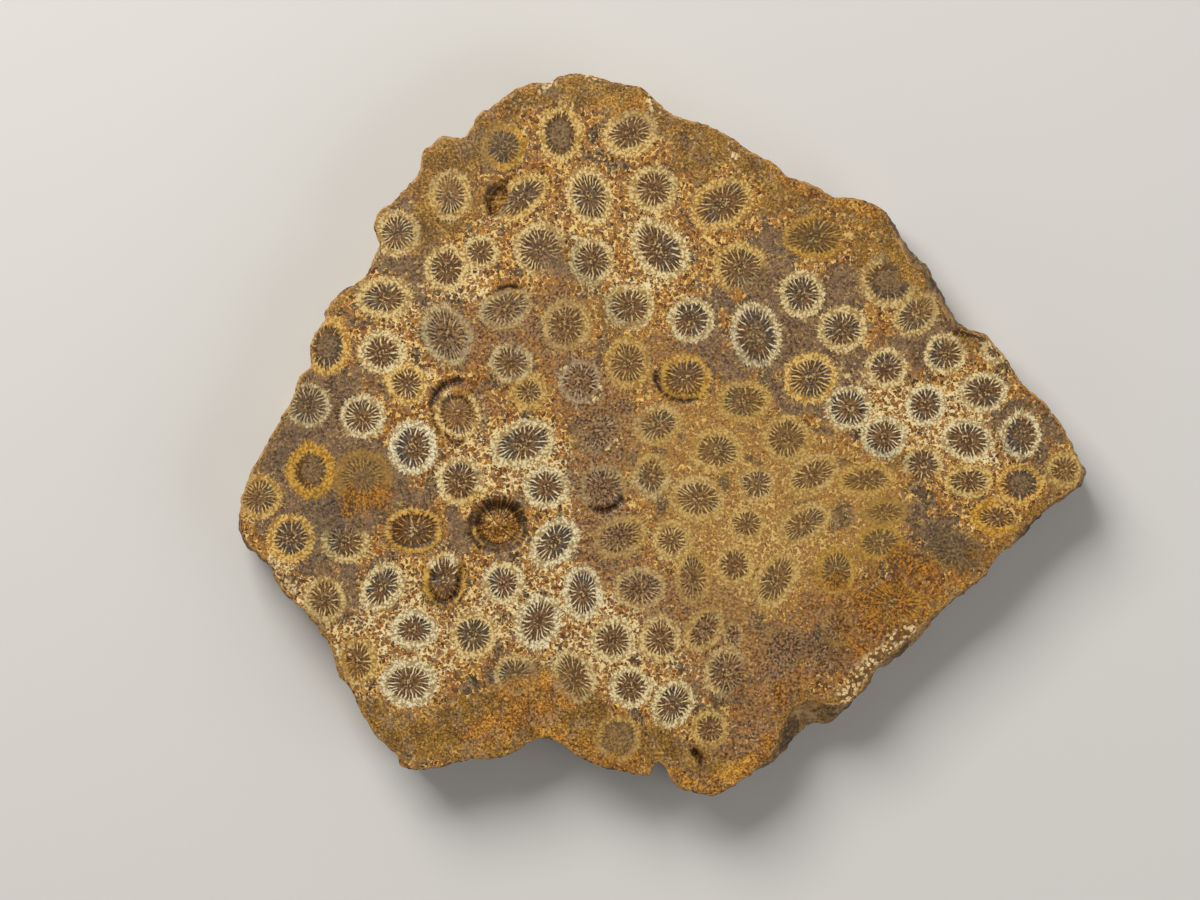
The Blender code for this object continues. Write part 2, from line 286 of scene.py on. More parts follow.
BRIGHT = [  # plenty of cream net between the corallites
    (1.0, 45, [(400, 600), (440, 640), (500, 610), (550, 580), (560, 640), (620, 610)]),
    (0.9, 40, [(480, 450), (540, 460), (500, 490)]),
    (0.95, 34, [(850, 385), (900, 405), (940, 430), (960, 400), (990, 450)]),
    (0.6, 34, [(480, 220), (540, 220), (590, 240), (640, 220), (690, 250)]),
    (1.1, 17, [(410, 300), (450, 288), (480, 272)]),
    (1.3, 14, [(450, 295), (478, 292)]),
    (1.0, 28, [(750, 520), (785, 560), (745, 590)]),
    (1.0, 13, [(335, 640), (352, 668), (366, 698)]),
    (1.0, 22, [(350, 620), (385, 645), (440, 655)]),
    (0.9, 18, [(668, 610), (682, 660), (702, 675)]),
    (0.8, 13, [(572, 455), (578, 530)]),
    (0.7, 30, [(420, 370), (400, 330)]),
    (0.8, 24, [(600, 290), (650, 285)]),
    (1.5, 20, [(280, 568), (292, 585), (310, 605)]),
    (0.6, 30, [(690, 540), (730, 530)]),
    (0.8, 26, [(640, 660), (600, 660), (690, 700)]),
    (0.6, 16, [(720, 150), (735, 165)]),
    (0.7, 13, [(966, 532), (984, 522), (1002, 500)]),
]

CHALK = [  # pale crumbs stuck to the face
    (1.2, 9, [(908, 630), (898, 636), (884, 652), (870, 664)]),
    (1.1, 9, [(862, 672), (850, 686), (845, 696)]),
    (1.1, 7, [(590, 76), (604, 79)]),
    (1.0, 7, [(650, 99), (658, 110)]),
    (0.8, 6, [(540, 90), (552, 84)]),
    (0.8, 6, [(730, 146), (736, 160)]),
    (0.8, 6, [(270, 560), (280, 572), (292, 592)]),
    (1.0, 3, [(561, 374), (564, 367), (571, 362)]),
    (1.2, 3, [(590, 402), (599, 394), (601, 384)]),
    (1.0, 3, [(578, 444), (584, 450)]),
    (1.1, 3, [(604, 452), (614, 446), (619, 438)]),
    (0.9, 6, [(345, 648), (352, 654)]),
    (0.9, 2, [(481, 397), (483, 410), (484, 424)]),
    (0.7, 6, [(372, 238), (380, 248)]),
]

SHADE = [  # darker than the rest
    (1.0, 20, [(490, 140), (508, 150)]),
    (0.5, 16, [(545, 103), (600, 98)]),
    (0.6, 14, [(650, 155), (672, 180)]),
    (0.5, 12, [(728, 180), (745, 185)]),
    (0.8, 17, [(565, 245), (590, 285), (618, 325)]),
    (0.7, 18, [(430, 335), (450, 352)]),
    (0.6, 12, [(370, 385)]),
    (0.6, 20, [(800, 235), (825, 245)]),
    (0.7, 14, [(735, 335), (770, 378)]),
    (0.8, 12, [(875, 448), (905, 462)]),
    (1.0, 22, [(322, 505), (330, 545)]),
    (0.6, 18, [(275, 475), (310, 405)]),
    (0.7, 14, [(958, 493)]),
    (0.7, 15, [(1000, 445), (1045, 475)]),
    (1.0, 22, [(940, 545), (965, 558)]),
    (0.7, 20, [(715, 712), (745, 685)]),
    (0.6, 14, [(480, 685), (515, 672), (545, 662)]),
    (0.5, 26, [(830, 565), (870, 575)]),
    (0.9, 24, [(840, 655), (815, 645)]),
    (0.6, 12, [(525, 420)]),
]

# How uneven the edge of each kind of stain and of the painted shade is, and its rows.
STAINS = {
    "haze": (0.5, HAZE),
    "agate": (0.9, AGATE),
    "mauve": (0.6, MAUVE),
    "crust": (0.9, CRUST),
    "iron": (1.1, IRON),
    "amber": (0.3, AMBER),
    # the "dark" one is painted shade of the hollows
    "dark": (0.3, HOLLOW_SHADE),
    "bright": (0.3, BRIGHT),
    "chalk": (0.9, CHALK),
    "shade": (0.7, SHADE),
}

# Round hollows of the face: x, y, half length, half width, turn in degrees, depth in millimetres,
# the share of the radius that is floor, and how far the floor's middle bulges up, in millimetres.
PITS = [
    (497, 527, 31, 29, 0, 0.55, 0.80, 0.0), (498, 523, 25, 23, 0, 2.3, 0.70, 0.4),
    (414, 531, 24, 17, 0, 0.3, 0.85, 0.10), (444, 586, 15, 16, 0, 0.5, 0.70, 0.1),
    (458, 413, 20, 16, 115, 0.6, 0.75, 0.15), (498, 199, 9, 19, -26, 1.4, 0.65, 0.15),
    (698, 757, 11, 5, -55, 1.6, 0.2, 0.0), (657, 380, 5, 7, 0, 0.8, 0.3, 0.0),
    (544, 594, 2.5, 2.5, 0, 0.5, 0.2, 0.0), (672, 650, 2.5, 3, 0, 0.5, 0.2, 0.0),
    (515, 347, 5, 3, 0, 0.4, 0.2, 0.0), (380, 567, 3, 7, 30, 0.4, 0.2, 0.0),
    (860, 413, 4, 5, 0, 0.35, 0.3, 0.0), (478, 474, 3, 4, 0, 0.3, 0.3, 0.0),
    (970, 331, 19, 8, -22, 1.5, 0.4, 0.0), (596, 396, 3, 6, 60, 0.3, 0.2, 0.0),
]

# Curved grooves of the face: x and y of the curve's middle, its two half sizes, the groove's width,
# its first and last direction in degrees, and its depth in millimetres.
GROOVES = [
    (444, 583, 14, 18, 5, 165, 390, 0.9), (458, 411, 26, 29, 6, 60, 170, 0.7),
    (603, 488, 20, 22, 6, 235, 350, 0.9), (685, 378, 27, 23, 5, 150, 300, 0.6),
    (510, 301, 19, 14, 5, 45, 140, 0.7), (414, 531, 31, 24, 3, 0, 360, 0.25),
    (362, 417, 24, 23, 3, 130, 240, 0.4), (630, 306, 23, 20, 3, 250, 330, 0.4),
]

# Broken patches that kept a glassy, rippled surface: x, y, half length, half width, turn in degrees.
RIPPLED = [(738, 758, 40, 17, 62), (704, 776, 16, 12, 0), (838, 672, 20, 12, -60)]
RIPPLE_DEPTH = 0.20 * MM
RIPPLE_SPACING = 0.9 * MM
RIPPLE_TURN = 68.0  # degrees, the way that the ripples run
RIPPLE_LENGTH = 4.0  # how much longer than wide they are
RIPPLE_RISE = 1.6  # how fast the ripples grow from a patch's edge

# The hollows' own shapes.
OUTLINE_SPACING = 9.0  # of the unevenness of their outlines, on the sheet
PIT_UNEVEN, GROOVE_UNEVEN = 0.10, 0.05  # how far the outlines wander, as a share of their size
GROOVE_DEPTH_UNEVEN = 0.5
MOUND_RISE = 1.2  # above 1, a floor's bulge has a flat top
GROOVE_FLOOR = 1.3  # above 1, a groove has a flat floor
GROOVE_END = 25.0  # degrees over which a groove runs out
HOLLOW_GRIT = 0.16 * MM  # the roughness of the floors
HOLLOW_GRIT_SPACING = 0.8 * MM
SINK_REACH = 3.0  # the stone bends down with a hollow to this many times its depth
SLOPE_STEP = 0.8  # on the sheet, between the depths that give a slope

# The corallites' make-up. Lengths without a unit are shares of the radius.
TUBE_LEAN = (5.0, -4.0)  # how far the corallites drift over the sheet on their way to the back
TUBE_START = 0.5  # the share of the thickness below which they do
SEPTA_SPACING = 0.74  # millimetres along the wall
SEPTUM_HALF = (0.044, 0.100)  # half a septum's width in millimetres, at the middle and at the wall
SEPTUM_WIDTHS = (0.45, 1.45)  # the least and the most of that width that a septum has
SHORT_SEPTA = 0.30  # how much further out every second septum starts
LATE_SEPTA = 0.34  # how much further out a septum may start by chance
CORE_LEAST, CORE_MORE = 0.20, 0.18  # the spongy middle's radius, and its spread
WALL_INSIDE, RING_OUTSIDE = 0.90, 0.92
SCALLOPS = 0.24
TEETH, LONG_TEETH = 0.07, 0.14

# How many of each of the stone's textures there are in a millimetre.
FINE_PER_MM = 2.2
GRIT_PER_MM = 1.6
WOBBLES_PER_MM = 1.6
SPECKS_PER_MM = 1.9
GRAINS_PER_MM = 1.75
CRUMBS_PER_MM = 3.0
SAND_PER_MM = 4.2
CHALK_PER_MM = 1.4

# Uneven patches of the stone: about how wide they are, and how far their noise is shifted.
CLOUDS = {"broad": (5.0 * MM, 0.0), "patches": (3.5 * MM, 0.3), "thickets": (2.2 * MM, 0.9)}
EDGE_BLOTCHES = (2.6 * MM, 0.1)
CLOUD_LAYERS = 3
CLOUD_CONTRAST = 0.45
STAIN_START, STAIN_RISE = 0.25, 0.60  # the strength that a stain shows from, and that it grows full over
NEAR_FACE, NEAR_FACE_RISE = 0.7, 0.1  # shares of the thickness above which the hollows are coloured

# The body's mesh.
WELD = 1e-6
TINY = 1e-9
RING_LEAST = 100  # points that an outline ring of the CAD solid has at the least
PIECES_AROUND, PIECES_DOWN = 5, 5  # for each piece of the CAD solid's outside
EDGE_ROWS = 3  # over the worn edge
FACE_SPACING = 0.62 * MM
HOLLOW_SPACING = 0.30 * MM
HOLLOW_GAP = 0.24 * MM  # between the face's points and the closer ones of its hollows
BACK_SPACING = 1.1 * MM
RIM_GAP = 0.38 * MM  # between the rim and the inner points
ROW_RISE = 0.866  # of equilateral triangles, as a share of their side
JITTER = 0.22
LEAST_DEPTH = 0.02 * MM  # hollows and ripples get small triangles from these values on
LEAST_RIPPLE = 0.1
SEED = 7

# The map that the slab's looks are baked through: the face is largest, the outside lies above it in
# strips, and the back lies beside those.
MAP_NAME = "OFBake"
MAP_GAP = 0.006
MAP_FACE = 0.90  # the face's width on the map
MAP_STRIPS = 3
MAP_RUN = 0.70  # a strip's length

# The rough outside.
NORMAL_REACH = 2  # rim points to either side that give the outward direction
RAGGED = [(1.3 * MM, 0.24 * MM), (0.55 * MM, 0.144 * MM)]  # of the whole outline: spacing and height
LUMPS = [(5.0 * MM, 0.36 * MM), (2.2 * MM, 0.34 * MM), (1.0 * MM, 0.20 * MM)]  # spacing and height
LUMPS_START = 0.12  # the lumps grow from nothing at the face's edge over this share of the thickness
BACK_EDGE, BACK_CALM = 0.15, 0.6  # the share next to the back where they weaken, and by how much
FLUTE_SPACING = 1.5 * MM
FLUTE_HEIGHT = 0.16 * MM
FLUTE_LENGTH = 6.0  # how much longer the flutes are than wide


def smooth(value):
    """Runs smoothly from 0 to 1 as the value does."""
    value = np.clip(value, 0.0, 1.0)
    return value * value * (3.0 - 2.0 * value)


def to_sheet(places):
    """The sheet's x and y of an array of places."""
    x = SHEET_LEFT + (places[:, 0] - cad_box[0].x) / UNIT
    y = SHEET_TOP + (cad_box[1].y - places[:, 1]) / UNIT
    return x, y


def turned(x, y, middle_x, middle_y, degrees):
    """Sheet places seen from a middle, along and across a direction. Up counts as positive."""
    right, up = x - middle_x, middle_y - y
    cosine, sine = np.cos(np.radians(degrees)), np.sin(np.radians(degrees))
    return right * cosine + up * sine, up * cosine - right * sine


# ---- the CAD solid's outline rings ----


def cad_corners(node):
    """The CAD solid's corner places, each one once, and its triangles as rows of their numbers."""
    mesh = node.data
    places = np.array([vertex.co for vertex in mesh.vertices], float)
    _, first, number = np.unique(
        np.round(places / WELD).astype(int), axis=0, return_index=True, return_inverse=True
    )
    triangles = np.array([tuple(polygon.vertices) for polygon in mesh.polygons])
    return places[first], number.reshape(-1)[triangles]


def outline_rings(places, triangles):
    """The outline at each level from the face to the back, counter-clockwise and in step."""
    heights = np.round(places[:, 2] / WELD).astype(int)
    values, counts = np.unique(heights, return_counts=True)
    levels = values[counts >= RING_LEAST][::-1]
    level_of = {height: level for level, height in enumerate(levels)}
    level = [level_of.get(height) for height in heights]
    links = defaultdict(set)
    for corners in triangles:
        for i in range(3):
            start, end, tip = corners[i], corners[i - 1], corners[i - 2]
            if level[start] is None or level[start] != level[end] or level[tip] is None:
                continue
            if abs(level[tip] - level[start]) == 1:
                links[start].add(end)
                links[end].add(start)
    rings = []
    for wanted in range(len(levels)):
        start = min(corner for corner in links if level[corner] == wanted)
        rings.append(counter_clockwise(places[traced(links, start)]))
    return in_step(rings)


def traced(links, start):
    """The numbers of the corners met by following the links round from start."""
    loop = [start, min(links[start])]
    while True:
        step = next(corner for corner in links[loop[-1]] if corner != loop[-2])
        if step == start:
            return loop
        loop.append(step)


def counter_clockwise(ring):
    """The ring, turned round if it runs clockwise."""
    ahead = np.roll(ring, -1, axis=0)
    area = np.sum(ring[:, 0] * ahead[:, 1] - ahead[:, 0] * ring[:, 1])
    return ring if area > 0 else ring[::-1]


def in_step(rings):
    """The same rings, each starting below the first one's uppermost point on the sheet."""
    mark = rings[0][np.argmax(rings[0][:, 1])]
    started = []
    for ring in rings:
        nearest = np.argmin(np.hypot(*(ring[:, :2] - mark[:2]).T))
        started.append(np.roll(ring, -nearest, axis=0))
        mark = started[-1][0]
    return started


def curve(before, start, end, after, share):
    """Points of the smooth curves from each start to its end."""
    square, cube = share**2, share**3
    return 0.5 * (
        2 * start
        + (end - before) * share
        + (2 * before - 5 * start + 4 * end - after) * square
        + (3 * start - before - 3 * end + after) * cube
    )


def finer_ring(ring):
    """The ring with PIECES_AROUND points for each of its own, on a smooth curve."""
    before, end, after = np.roll(ring, 1, 0), np.roll(ring, -1, 0), np.roll(ring, -2, 0)
    shares = np.arange(PIECES_AROUND) / PIECES_AROUND
    points = [curve(before, ring, end, after, share) for share in shares]
    return np.stack(points, axis=1).reshape(-1, 3)


def side_rows(rings):
    """Rows of points down the outside, from the face's edge to the back's, before it is roughened."""
    face, edge, *lower = [finer_ring(ring) for ring in rings]
    rows = [face]
    for i in range(1, EDGE_ROWS + 1):
        angle = 0.5 * pi * i / EDGE_ROWS
        row = face + (edge - face) * np.sin(angle)
        row[:, 2] = face[:, 2] + (edge[:, 2] - face[:, 2]) * (1 - np.cos(angle))
        rows.append(row)
    stack = [edge, edge, *lower, lower[-1]]
    for i in range(1, len(stack) - 2):
        for piece in range(1, PIECES_DOWN + 1):
            rows.append(curve(*stack[i - 1 : i + 3], piece / PIECES_DOWN))
    return np.array(rows)


# ---- the body ----


def noise_at(places, spacing, stretch=1.0):
    """Smooth noise between -1 and 1 at each place, drawn out stretch times along Z."""
    scaled = places / np.array([spacing, spacing, spacing * stretch])
    return np.array([noise.noise(Vector(place)) for place in scaled])


def layered(places, layers):
    """Several noises over each other, each with its own spacing and height."""
    return sum(height * noise_at(places, spacing) for spacing, height in layers)


def outward(rows):
    """The level direction out of the stone at each column of the rows."""
    along = np.roll(rows[0], -NORMAL_REACH, axis=0) - np.roll(rows[0], NORMAL_REACH, axis=0)
    out = np.stack([along[:, 1], -along[:, 0], np.zeros(len(along))], axis=1)
    return out / np.linalg.norm(out, axis=1, keepdims=True)


def roughened(rows):
    """The rows with the outside's lumps and flutes, growing from nothing at the face's edge."""
    places = rows.reshape(-1, 3)
    shift = layered(places, LUMPS)
    shift -= FLUTE_HEIGHT * np.abs(noise_at(places, FLUTE_SPACING, FLUTE_LENGTH))
    depth = (THICKNESS - places[:, 2]) / THICKNESS
    shift *= smooth(depth / LUMPS_START)
    shift *= 1 - BACK_CALM * smooth((depth - 1 + BACK_EDGE) / BACK_EDGE)
    ragged = layered(rows[0] * np.array([1, 1, 0]), RAGGED)
    return rows + outward(rows) * (shift.reshape(rows.shape[:2]) + ragged)[..., None]


def hexagon_points(loop, spacing, rng):
    """Points of a jittered grid of equilateral triangles over the loop's whole box."""
    low, high = loop[:, :2].min(axis=0), loop[:, :2].max(axis=0)
    ys = np.arange(low[1], high[1], spacing * ROW_RISE)
    xs = np.arange(low[0], high[0], spacing)
    grid = np.array([(x + 0.5 * spacing * (row % 2), y) for row, y in enumerate(ys) for x in xs])
    return grid + (rng.random(grid.shape) - 0.5) * spacing * JITTER


def inside(points, loop):
    """The points that lie inside the loop and not too near to it."""
    within = np.zeros(len(points), bool)
    for start, end in zip(loop, np.roll(loop, -1, axis=0)):
        spans = (start[1] > points[:, 1]) != (end[1] > points[:, 1])
        if start[1] != end[1]:
            crossing = start[0] + (end[0] - start[0]) * (points[:, 1] - start[1]) / (end[1] - start[1])
            within ^= spans & (points[:, 0] < crossing)
    points = points[within]
    return points[clear_of(points, loop, RIM_GAP)]


def clear_of(points, others, gap):
    """Which points are further than the gap from all the others."""
    tree = KDTree(len(others))
    for i, other in enumerate(others):
        tree.insert((other[0], other[1], 0.0), i)
    tree.balance()
    return np.array([tree.find((point[0], point[1], 0.0))[2] > gap for point in points])


def filled_loop(loop, points, loop_start, points_start):
    """Triangles that fill the loop through the points, as rows of vertex numbers."""
    corners = [Vector(place[:2]) for place in loop] + [Vector(point) for point in points]
    edges = [(i, (i + 1) % len(loop)) for i in range(len(loop))]
    _, _, faces, origins, _, _ = delaunay_2d_cdt(corners, edges, [], 1, TINY)
    origin = np.array([sources[0] for sources in origins])
    triangles = origin[np.array(faces)]
    count = len(loop)
    return np.where(triangles < count, triangles + loop_start, triangles - count + points_start)


def face_points(loop, rng):
    """Places for the face's inner points, closer together over its hollows."""
    coarse = hexagon_points(loop, FACE_SPACING, rng)
    fine = hexagon_points(loop, HOLLOW_SPACING, rng)
    x, y = to_sheet(fine)
    fine = fine[(hollow_depth(x, y) > LEAST_DEPTH) | (ripple_share(x, y) > LEAST_RIPPLE)]
    coarse = coarse[clear_of(coarse, fine, HOLLOW_GAP)]
    return inside(np.concatenate([coarse, fine]), loop)


def hollow_depth(x, y):
    """How far the pits and grooves lie below the face at places on the sheet."""
    uneven = noise_at(np.column_stack([x, y, np.zeros(len(x))]), OUTLINE_SPACING)
    depth = np.zeros(len(x))
    for pit in PITS:
        depth = np.maximum(depth, pit_depth(x, y, uneven, *pit))
    for groove in GROOVES:
        depth = np.maximum(depth, groove_depth(x, y, uneven, *groove))
    return depth


def pit_depth(x, y, uneven, middle_x, middle_y, length, width, turn, deep, floor, mound):
    """The depth of one of the PITS."""
    along, across = turned(x, y, middle_x, middle_y, turn)
    distance = np.hypot(along / length, across / width) * (1 + PIT_UNEVEN * uneven)
    bulge = mound * smooth(MOUND_RISE * (floor - distance) / floor)
    return (deep * smooth((1 - distance) / (1 - floor)) - bulge) * MM


def groove_depth(x, y, uneven, middle_x, middle_y, length, width, across_it, first, last, deep):
    """The depth of one of the GROOVES."""
    along, across = turned(x, y, middle_x, middle_y, 0)
    off = np.hypot(along / length, across / width) - 1 + GROOVE_UNEVEN * uneven
    away = np.abs(off) * (length + width) / across_it
    shape = deep * MM * smooth(GROOVE_FLOOR - away) * (1 + GROOVE_DEPTH_UNEVEN * uneven)
    span = last - first
    if span == 360:
        return shape
    direction = (np.degrees(np.arctan2(across, along)) - first) % 360
    return shape * smooth(direction / GROOVE_END) * smooth((span - direction) / GROOVE_END)


def hollow_slope(x, y):
    """How steep the sides of the pits and grooves are."""
    step_x = hollow_depth(x + SLOPE_STEP, y) - hollow_depth(x - SLOPE_STEP, y)
    step_y = hollow_depth(x, y + SLOPE_STEP) - hollow_depth(x, y - SLOPE_STEP)
    return np.hypot(step_x, step_y) / (2 * SLOPE_STEP * UNIT)


def ripple_share(x, y):
    """How much of the glassy ripples there is at places on the sheet."""
    share = np.zeros(len(x))
    for middle_x, middle_y, length, width, turn in RIPPLED:
        along, across = turned(x, y, middle_x, middle_y, turn)
        share = np.maximum(share, smooth(RIPPLE_RISE * (1 - np.hypot(along / length, across / width))))
    return share


def relief(places):
    """How far the surface lies below the flat polished face at each place near it."""
    x, y = to_sheet(places)
    hollows = hollow_depth(x, y)
    floor = np.minimum(hollows / MM, 1.0)
    hollows = hollows + HOLLOW_GRIT * floor * noise_at(places, HOLLOW_GRIT_SPACING)
    along, across = turned(x, y, 0, 0, RIPPLE_TURN)
    ripples = noise_at(np.column_stack([along / RIPPLE_LENGTH, across, 0 * x]), RIPPLE_SPACING / UNIT)
    ripples = RIPPLE_DEPTH * ripple_share(x, y) * (1 + ripples)
    return np.maximum(hollows + ripples, 0.0)


def body_mesh(rings):
    """The slab's vertices and triangles, each triangle's material number, and the outside's grid."""
    rng = np.random.default_rng(SEED)
    rows = roughened(side_rows(rings))
    count, columns, _ = rows.shape
    face_inner = face_points(rows[0], rng)
    back_inner = inside(hexagon_points(rows[-1], BACK_SPACING, rng), rows[-1])
    sides = rows.reshape(-1, 3)
    face = np.column_stack([face_inner, np.full(len(face_inner), THICKNESS)])
    back = np.column_stack([back_inner, np.zeros(len(back_inner))])
    vertices = np.concatenate([sides, face, back])
    parts = [
        filled_loop(rows[0], face_inner, 0, len(sides)),
        side_triangles(count, columns),
        filled_loop(rows[-1], back_inner, len(sides) - columns, len(sides) + len(face))[:, ::-1],
    ]
    kinds = np.repeat([0, 1, 2], [len(part) for part in parts])
    sink = relief(vertices)
    vertices[:, 2] -= sink * smooth(1 - (THICKNESS - vertices[:, 2]) / (SINK_REACH * sink + WELD))
    return vertices, np.concatenate(parts), kinds, (count, columns)


def side_triangles(count, columns):
    """Two triangles for each place of the outside's grid, whose vertices are numbered row by row."""
    grid = np.arange(count * columns).reshape(count, columns)
    upper, upper_next = grid[:-1], np.roll(grid[:-1], -1, axis=1)
    lower, lower_next = grid[1:], np.roll(grid[1:], -1, axis=1)
    first = np.stack([upper, lower, lower_next], axis=-1).reshape(-1, 3)
    second = np.stack([upper, lower_next, upper_next], axis=-1).reshape(-1, 3)
    return np.concatenate([first, second])


def surface_map(vertices, triangles, kinds, grid):
    """The place on the baking map of each corner of each triangle."""
    low, high = vertices.min(axis=0), vertices.max(axis=0)
    wide, tall = high[0] - low[0], high[1] - low[1]
    corners = vertices[triangles]
    face_scale = MAP_FACE / wide
    top = tall * face_scale + 2 * MAP_GAP
    room = 1 - MAP_GAP - top
    places = np.zeros((len(triangles), 3, 2))
    places[..., 0] = MAP_GAP + (corners[..., 0] - low[0]) * face_scale
    places[..., 1] = MAP_GAP + (corners[..., 1] - low[1]) * face_scale

    # the outside's corners are numbered row by row, so their numbers say where they lie in the strips
    count, columns = grid
    outside = kinds == 1
    row, column = np.divmod(triangles[outside], columns)
    last = column.max(axis=1, keepdims=True) == columns - 1
    column = np.where(last & (column == 0), columns, column)
    turn = column * MAP_STRIPS / columns
    strip = np.floor(turn.mean(axis=1, keepdims=True))
    places[outside, :, 0] = MAP_GAP + (turn - strip) * MAP_RUN
    height = room / MAP_STRIPS - MAP_GAP
    places[outside, :, 1] = top + strip * (height + MAP_GAP) + (1 - row / (count - 1)) * height

    back = kinds == 2
    left = MAP_RUN + 2 * MAP_GAP
    back_scale = min((1 - MAP_GAP - left) / wide, room / tall)
    places[back, :, 0] = left + (high[0] - corners[back][..., 0]) * back_scale
    places[back, :, 1] = top + (corners[back][..., 1] - low[1]) * back_scale
    return places


# ---- what the mesh carries for its material ----


def corallite_values():
    """The corallites' own values as named columns."""
    names = ["x", "y", "length", "width", "turn", "wall", "warm", "veil"]
    values = dict(zip(names, np.array(CORALLITES, float).T))
    count = len(CORALLITES)
    rng = np.random.default_rng(SEED)
    values["seed"] = rng.random(count)
    values["core"] = CORE_LEAST + CORE_MORE * rng.random(count)
    for x, y, core in FILLED:
        values["core"][corallite_near(values, x, y)] = core
    values["worn_x"], values["worn_y"] = np.zeros(count), np.zeros(count)
    for x, y, direction in WORN_RINGS:
        number = corallite_near(values, x, y)
        angle = np.radians(direction - values["turn"][number])
        values["worn_x"][number] = np.cos(angle)
        values["worn_y"][number] = np.sin(angle)
    values["radius"] = np.sqrt(values["length"] * values["width"]) * UNIT / MM
    values["septa"] = np.round(2 * pi * values["radius"] / SEPTA_SPACING)
    return values


def corallite_near(values, x, y):
    """The number of the corallite whose middle is nearest."""
    return np.argmin(np.hypot(values["x"] - x, values["y"] - y))


def nearest_corallites(x, y, values):
    """The number of the corallite that each place on the sheet belongs to."""
    best = np.full(len(x), np.inf)
    number = np.zeros(len(x), int)
    columns = [values[name] for name in ("x", "y", "turn", "length", "width", "wall")]
    for i, (middle_x, middle_y, turn, length, width, wall) in enumerate(zip(*columns)):
        along, across = turned(x, y, middle_x, middle_y, turn)
        distance = np.hypot(along / (length + wall), across / (width + wall))
        closer = distance < best
        best[closer] = distance[closer]
        number[closer] = i
    return number


def corner_values(vertices, triangles):
    """For each corner of each triangle, its place in the triangle's corallite and its values."""
    values = corallite_values()
    x, y = to_sheet(vertices)
    drift = 1 - np.clip(vertices[:, 2] / THICKNESS, 0, 1)
    drift = np.where(drift > TUBE_START, drift, 0.0)
    x, y = x + TUBE_LEAN[0] * drift, y + TUBE_LEAN[1] * drift
    number = nearest_corallites(x[triangles].mean(axis=1), y[triangles].mean(axis=1), values)
    mine = {name: column[np.repeat(number, 3)] for name, column in values.items()}
    corner = triangles.reshape(-1)
    along, across = turned(x[corner], y[corner], mine["x"], mine["y"], mine["turn"])
    length, width, wall = mine["length"], mine["width"], mine["wall"]
    carried = {
        "calice": (along / length, across / width, mine["seed"]),
        "calice_wall": (length / (length + wall), width / (width + wall), mine["veil"]),
        "calice_tone": (mine["warm"], mine["core"], mine["radius"]),
        "calice_worn": (mine["worn_x"], mine["worn_y"], mine["septa"]),
    }
    return {name: np.column_stack(parts) for name, parts in carried.items()}


def distance_to_path(x, y, path):
    """How far places on the sheet are from a path of straight pieces."""
    best = np.full(len(x), np.inf)
    for (start_x, start_y), (end_x, end_y) in zip(path, path[1:] or path):
        run_x, run_y = end_x - start_x, end_y - start_y
        share = ((x - start_x) * run_x + (y - start_y) * run_y) / max(run_x**2 + run_y**2, TINY)
        share = np.clip(share, 0, 1)
        best = np.minimum(best, np.hypot(x - start_x - run_x * share, y - start_y - run_y * share))
    return best


def stain(x, y, rows):
    """How strong a stain is at places on the sheet, from 0 to 1."""
    clean = np.ones(len(x))
    for strength, radius, path in rows:
        clean *= 1 - strength * np.exp(-((distance_to_path(x, y, path) / radius) ** 2))
    return 1 - clean


def cloud(places, spacing, shift):
    """Uneven patches between 0 and 1, about the given spacing across."""
    layers = [(spacing / 2**i, CLOUD_CONTRAST / 2**i) for i in range(CLOUD_LAYERS)]
    return np.clip(0.5 + layered(places + shift, layers), 0, 1)


def vertex_values(vertices):
    """The stains and the hollows' painted shade, the depth below the face and the stone's slow changes, at
    each vertex.
    """
    x, y = to_sheet(vertices)
    blotches = cloud(vertices, *EDGE_BLOTCHES) - 0.5
    near_face = smooth((vertices[:, 2] / THICKNESS - NEAR_FACE) / NEAR_FACE_RISE)
    values = {
        "hollow": hollow_depth(x, y) / MM * near_face,
        "slope": hollow_slope(x, y) * near_face,
        "rippled": ripple_share(x, y) * near_face,
    }
    for name, (uneven, rows) in STAINS.items():
        strength = stain(x, y, rows) + uneven * blotches
        values[name] = smooth((strength - STAIN_START) / STAIN_RISE)
    for name, (spacing, shift) in CLOUDS.items():
        values[name] = cloud(vertices, spacing, shift)
    return values


# ---- materials ----

EXPOSURE = 1.45  # the stone's colours below are as seen in dim light
GLOSS = 0.35
SEED_SPREAD = 60.0  # how far apart two corallites' noises lie
FACE_BUMP = 0.035 * MM
SAW_BUMP = 0.06 * MM
RIM_BUMP = 0.35 * MM


def stone(red, green, blue):
    """A colour seen on the stone, 0 to 255, as the material's own linear colour."""
    linear = []
    for value in (red, green, blue):
        share = value / 255
        plain = share / 12.92 if share <= 0.04045 else ((share + 0.055) / 1.055) ** 2.4
        linear.append(min(1.0, plain * EXPOSURE))
    return (*linear, 1.0)


class Value:
    """One output of a graph's nodes, with plain arithmetic for numbers."""

    def __init__(self, graph, socket):
        self.graph = graph
        self.socket = socket

    def __add__(self, other):
        return self.graph.math("ADD", self, other)

    def __sub__(self, other):
        return self.graph.math("SUBTRACT", self, other)

    def __rsub__(self, other):
        return self.graph.math("SUBTRACT", other, self)

    def __mul__(self, other):
        return self.graph.math("MULTIPLY", self, other)

    def __truediv__(self, other):
        return self.graph.math("DIVIDE", self, other)

    def __abs__(self):
        return self.graph.math("ABSOLUTE", self)


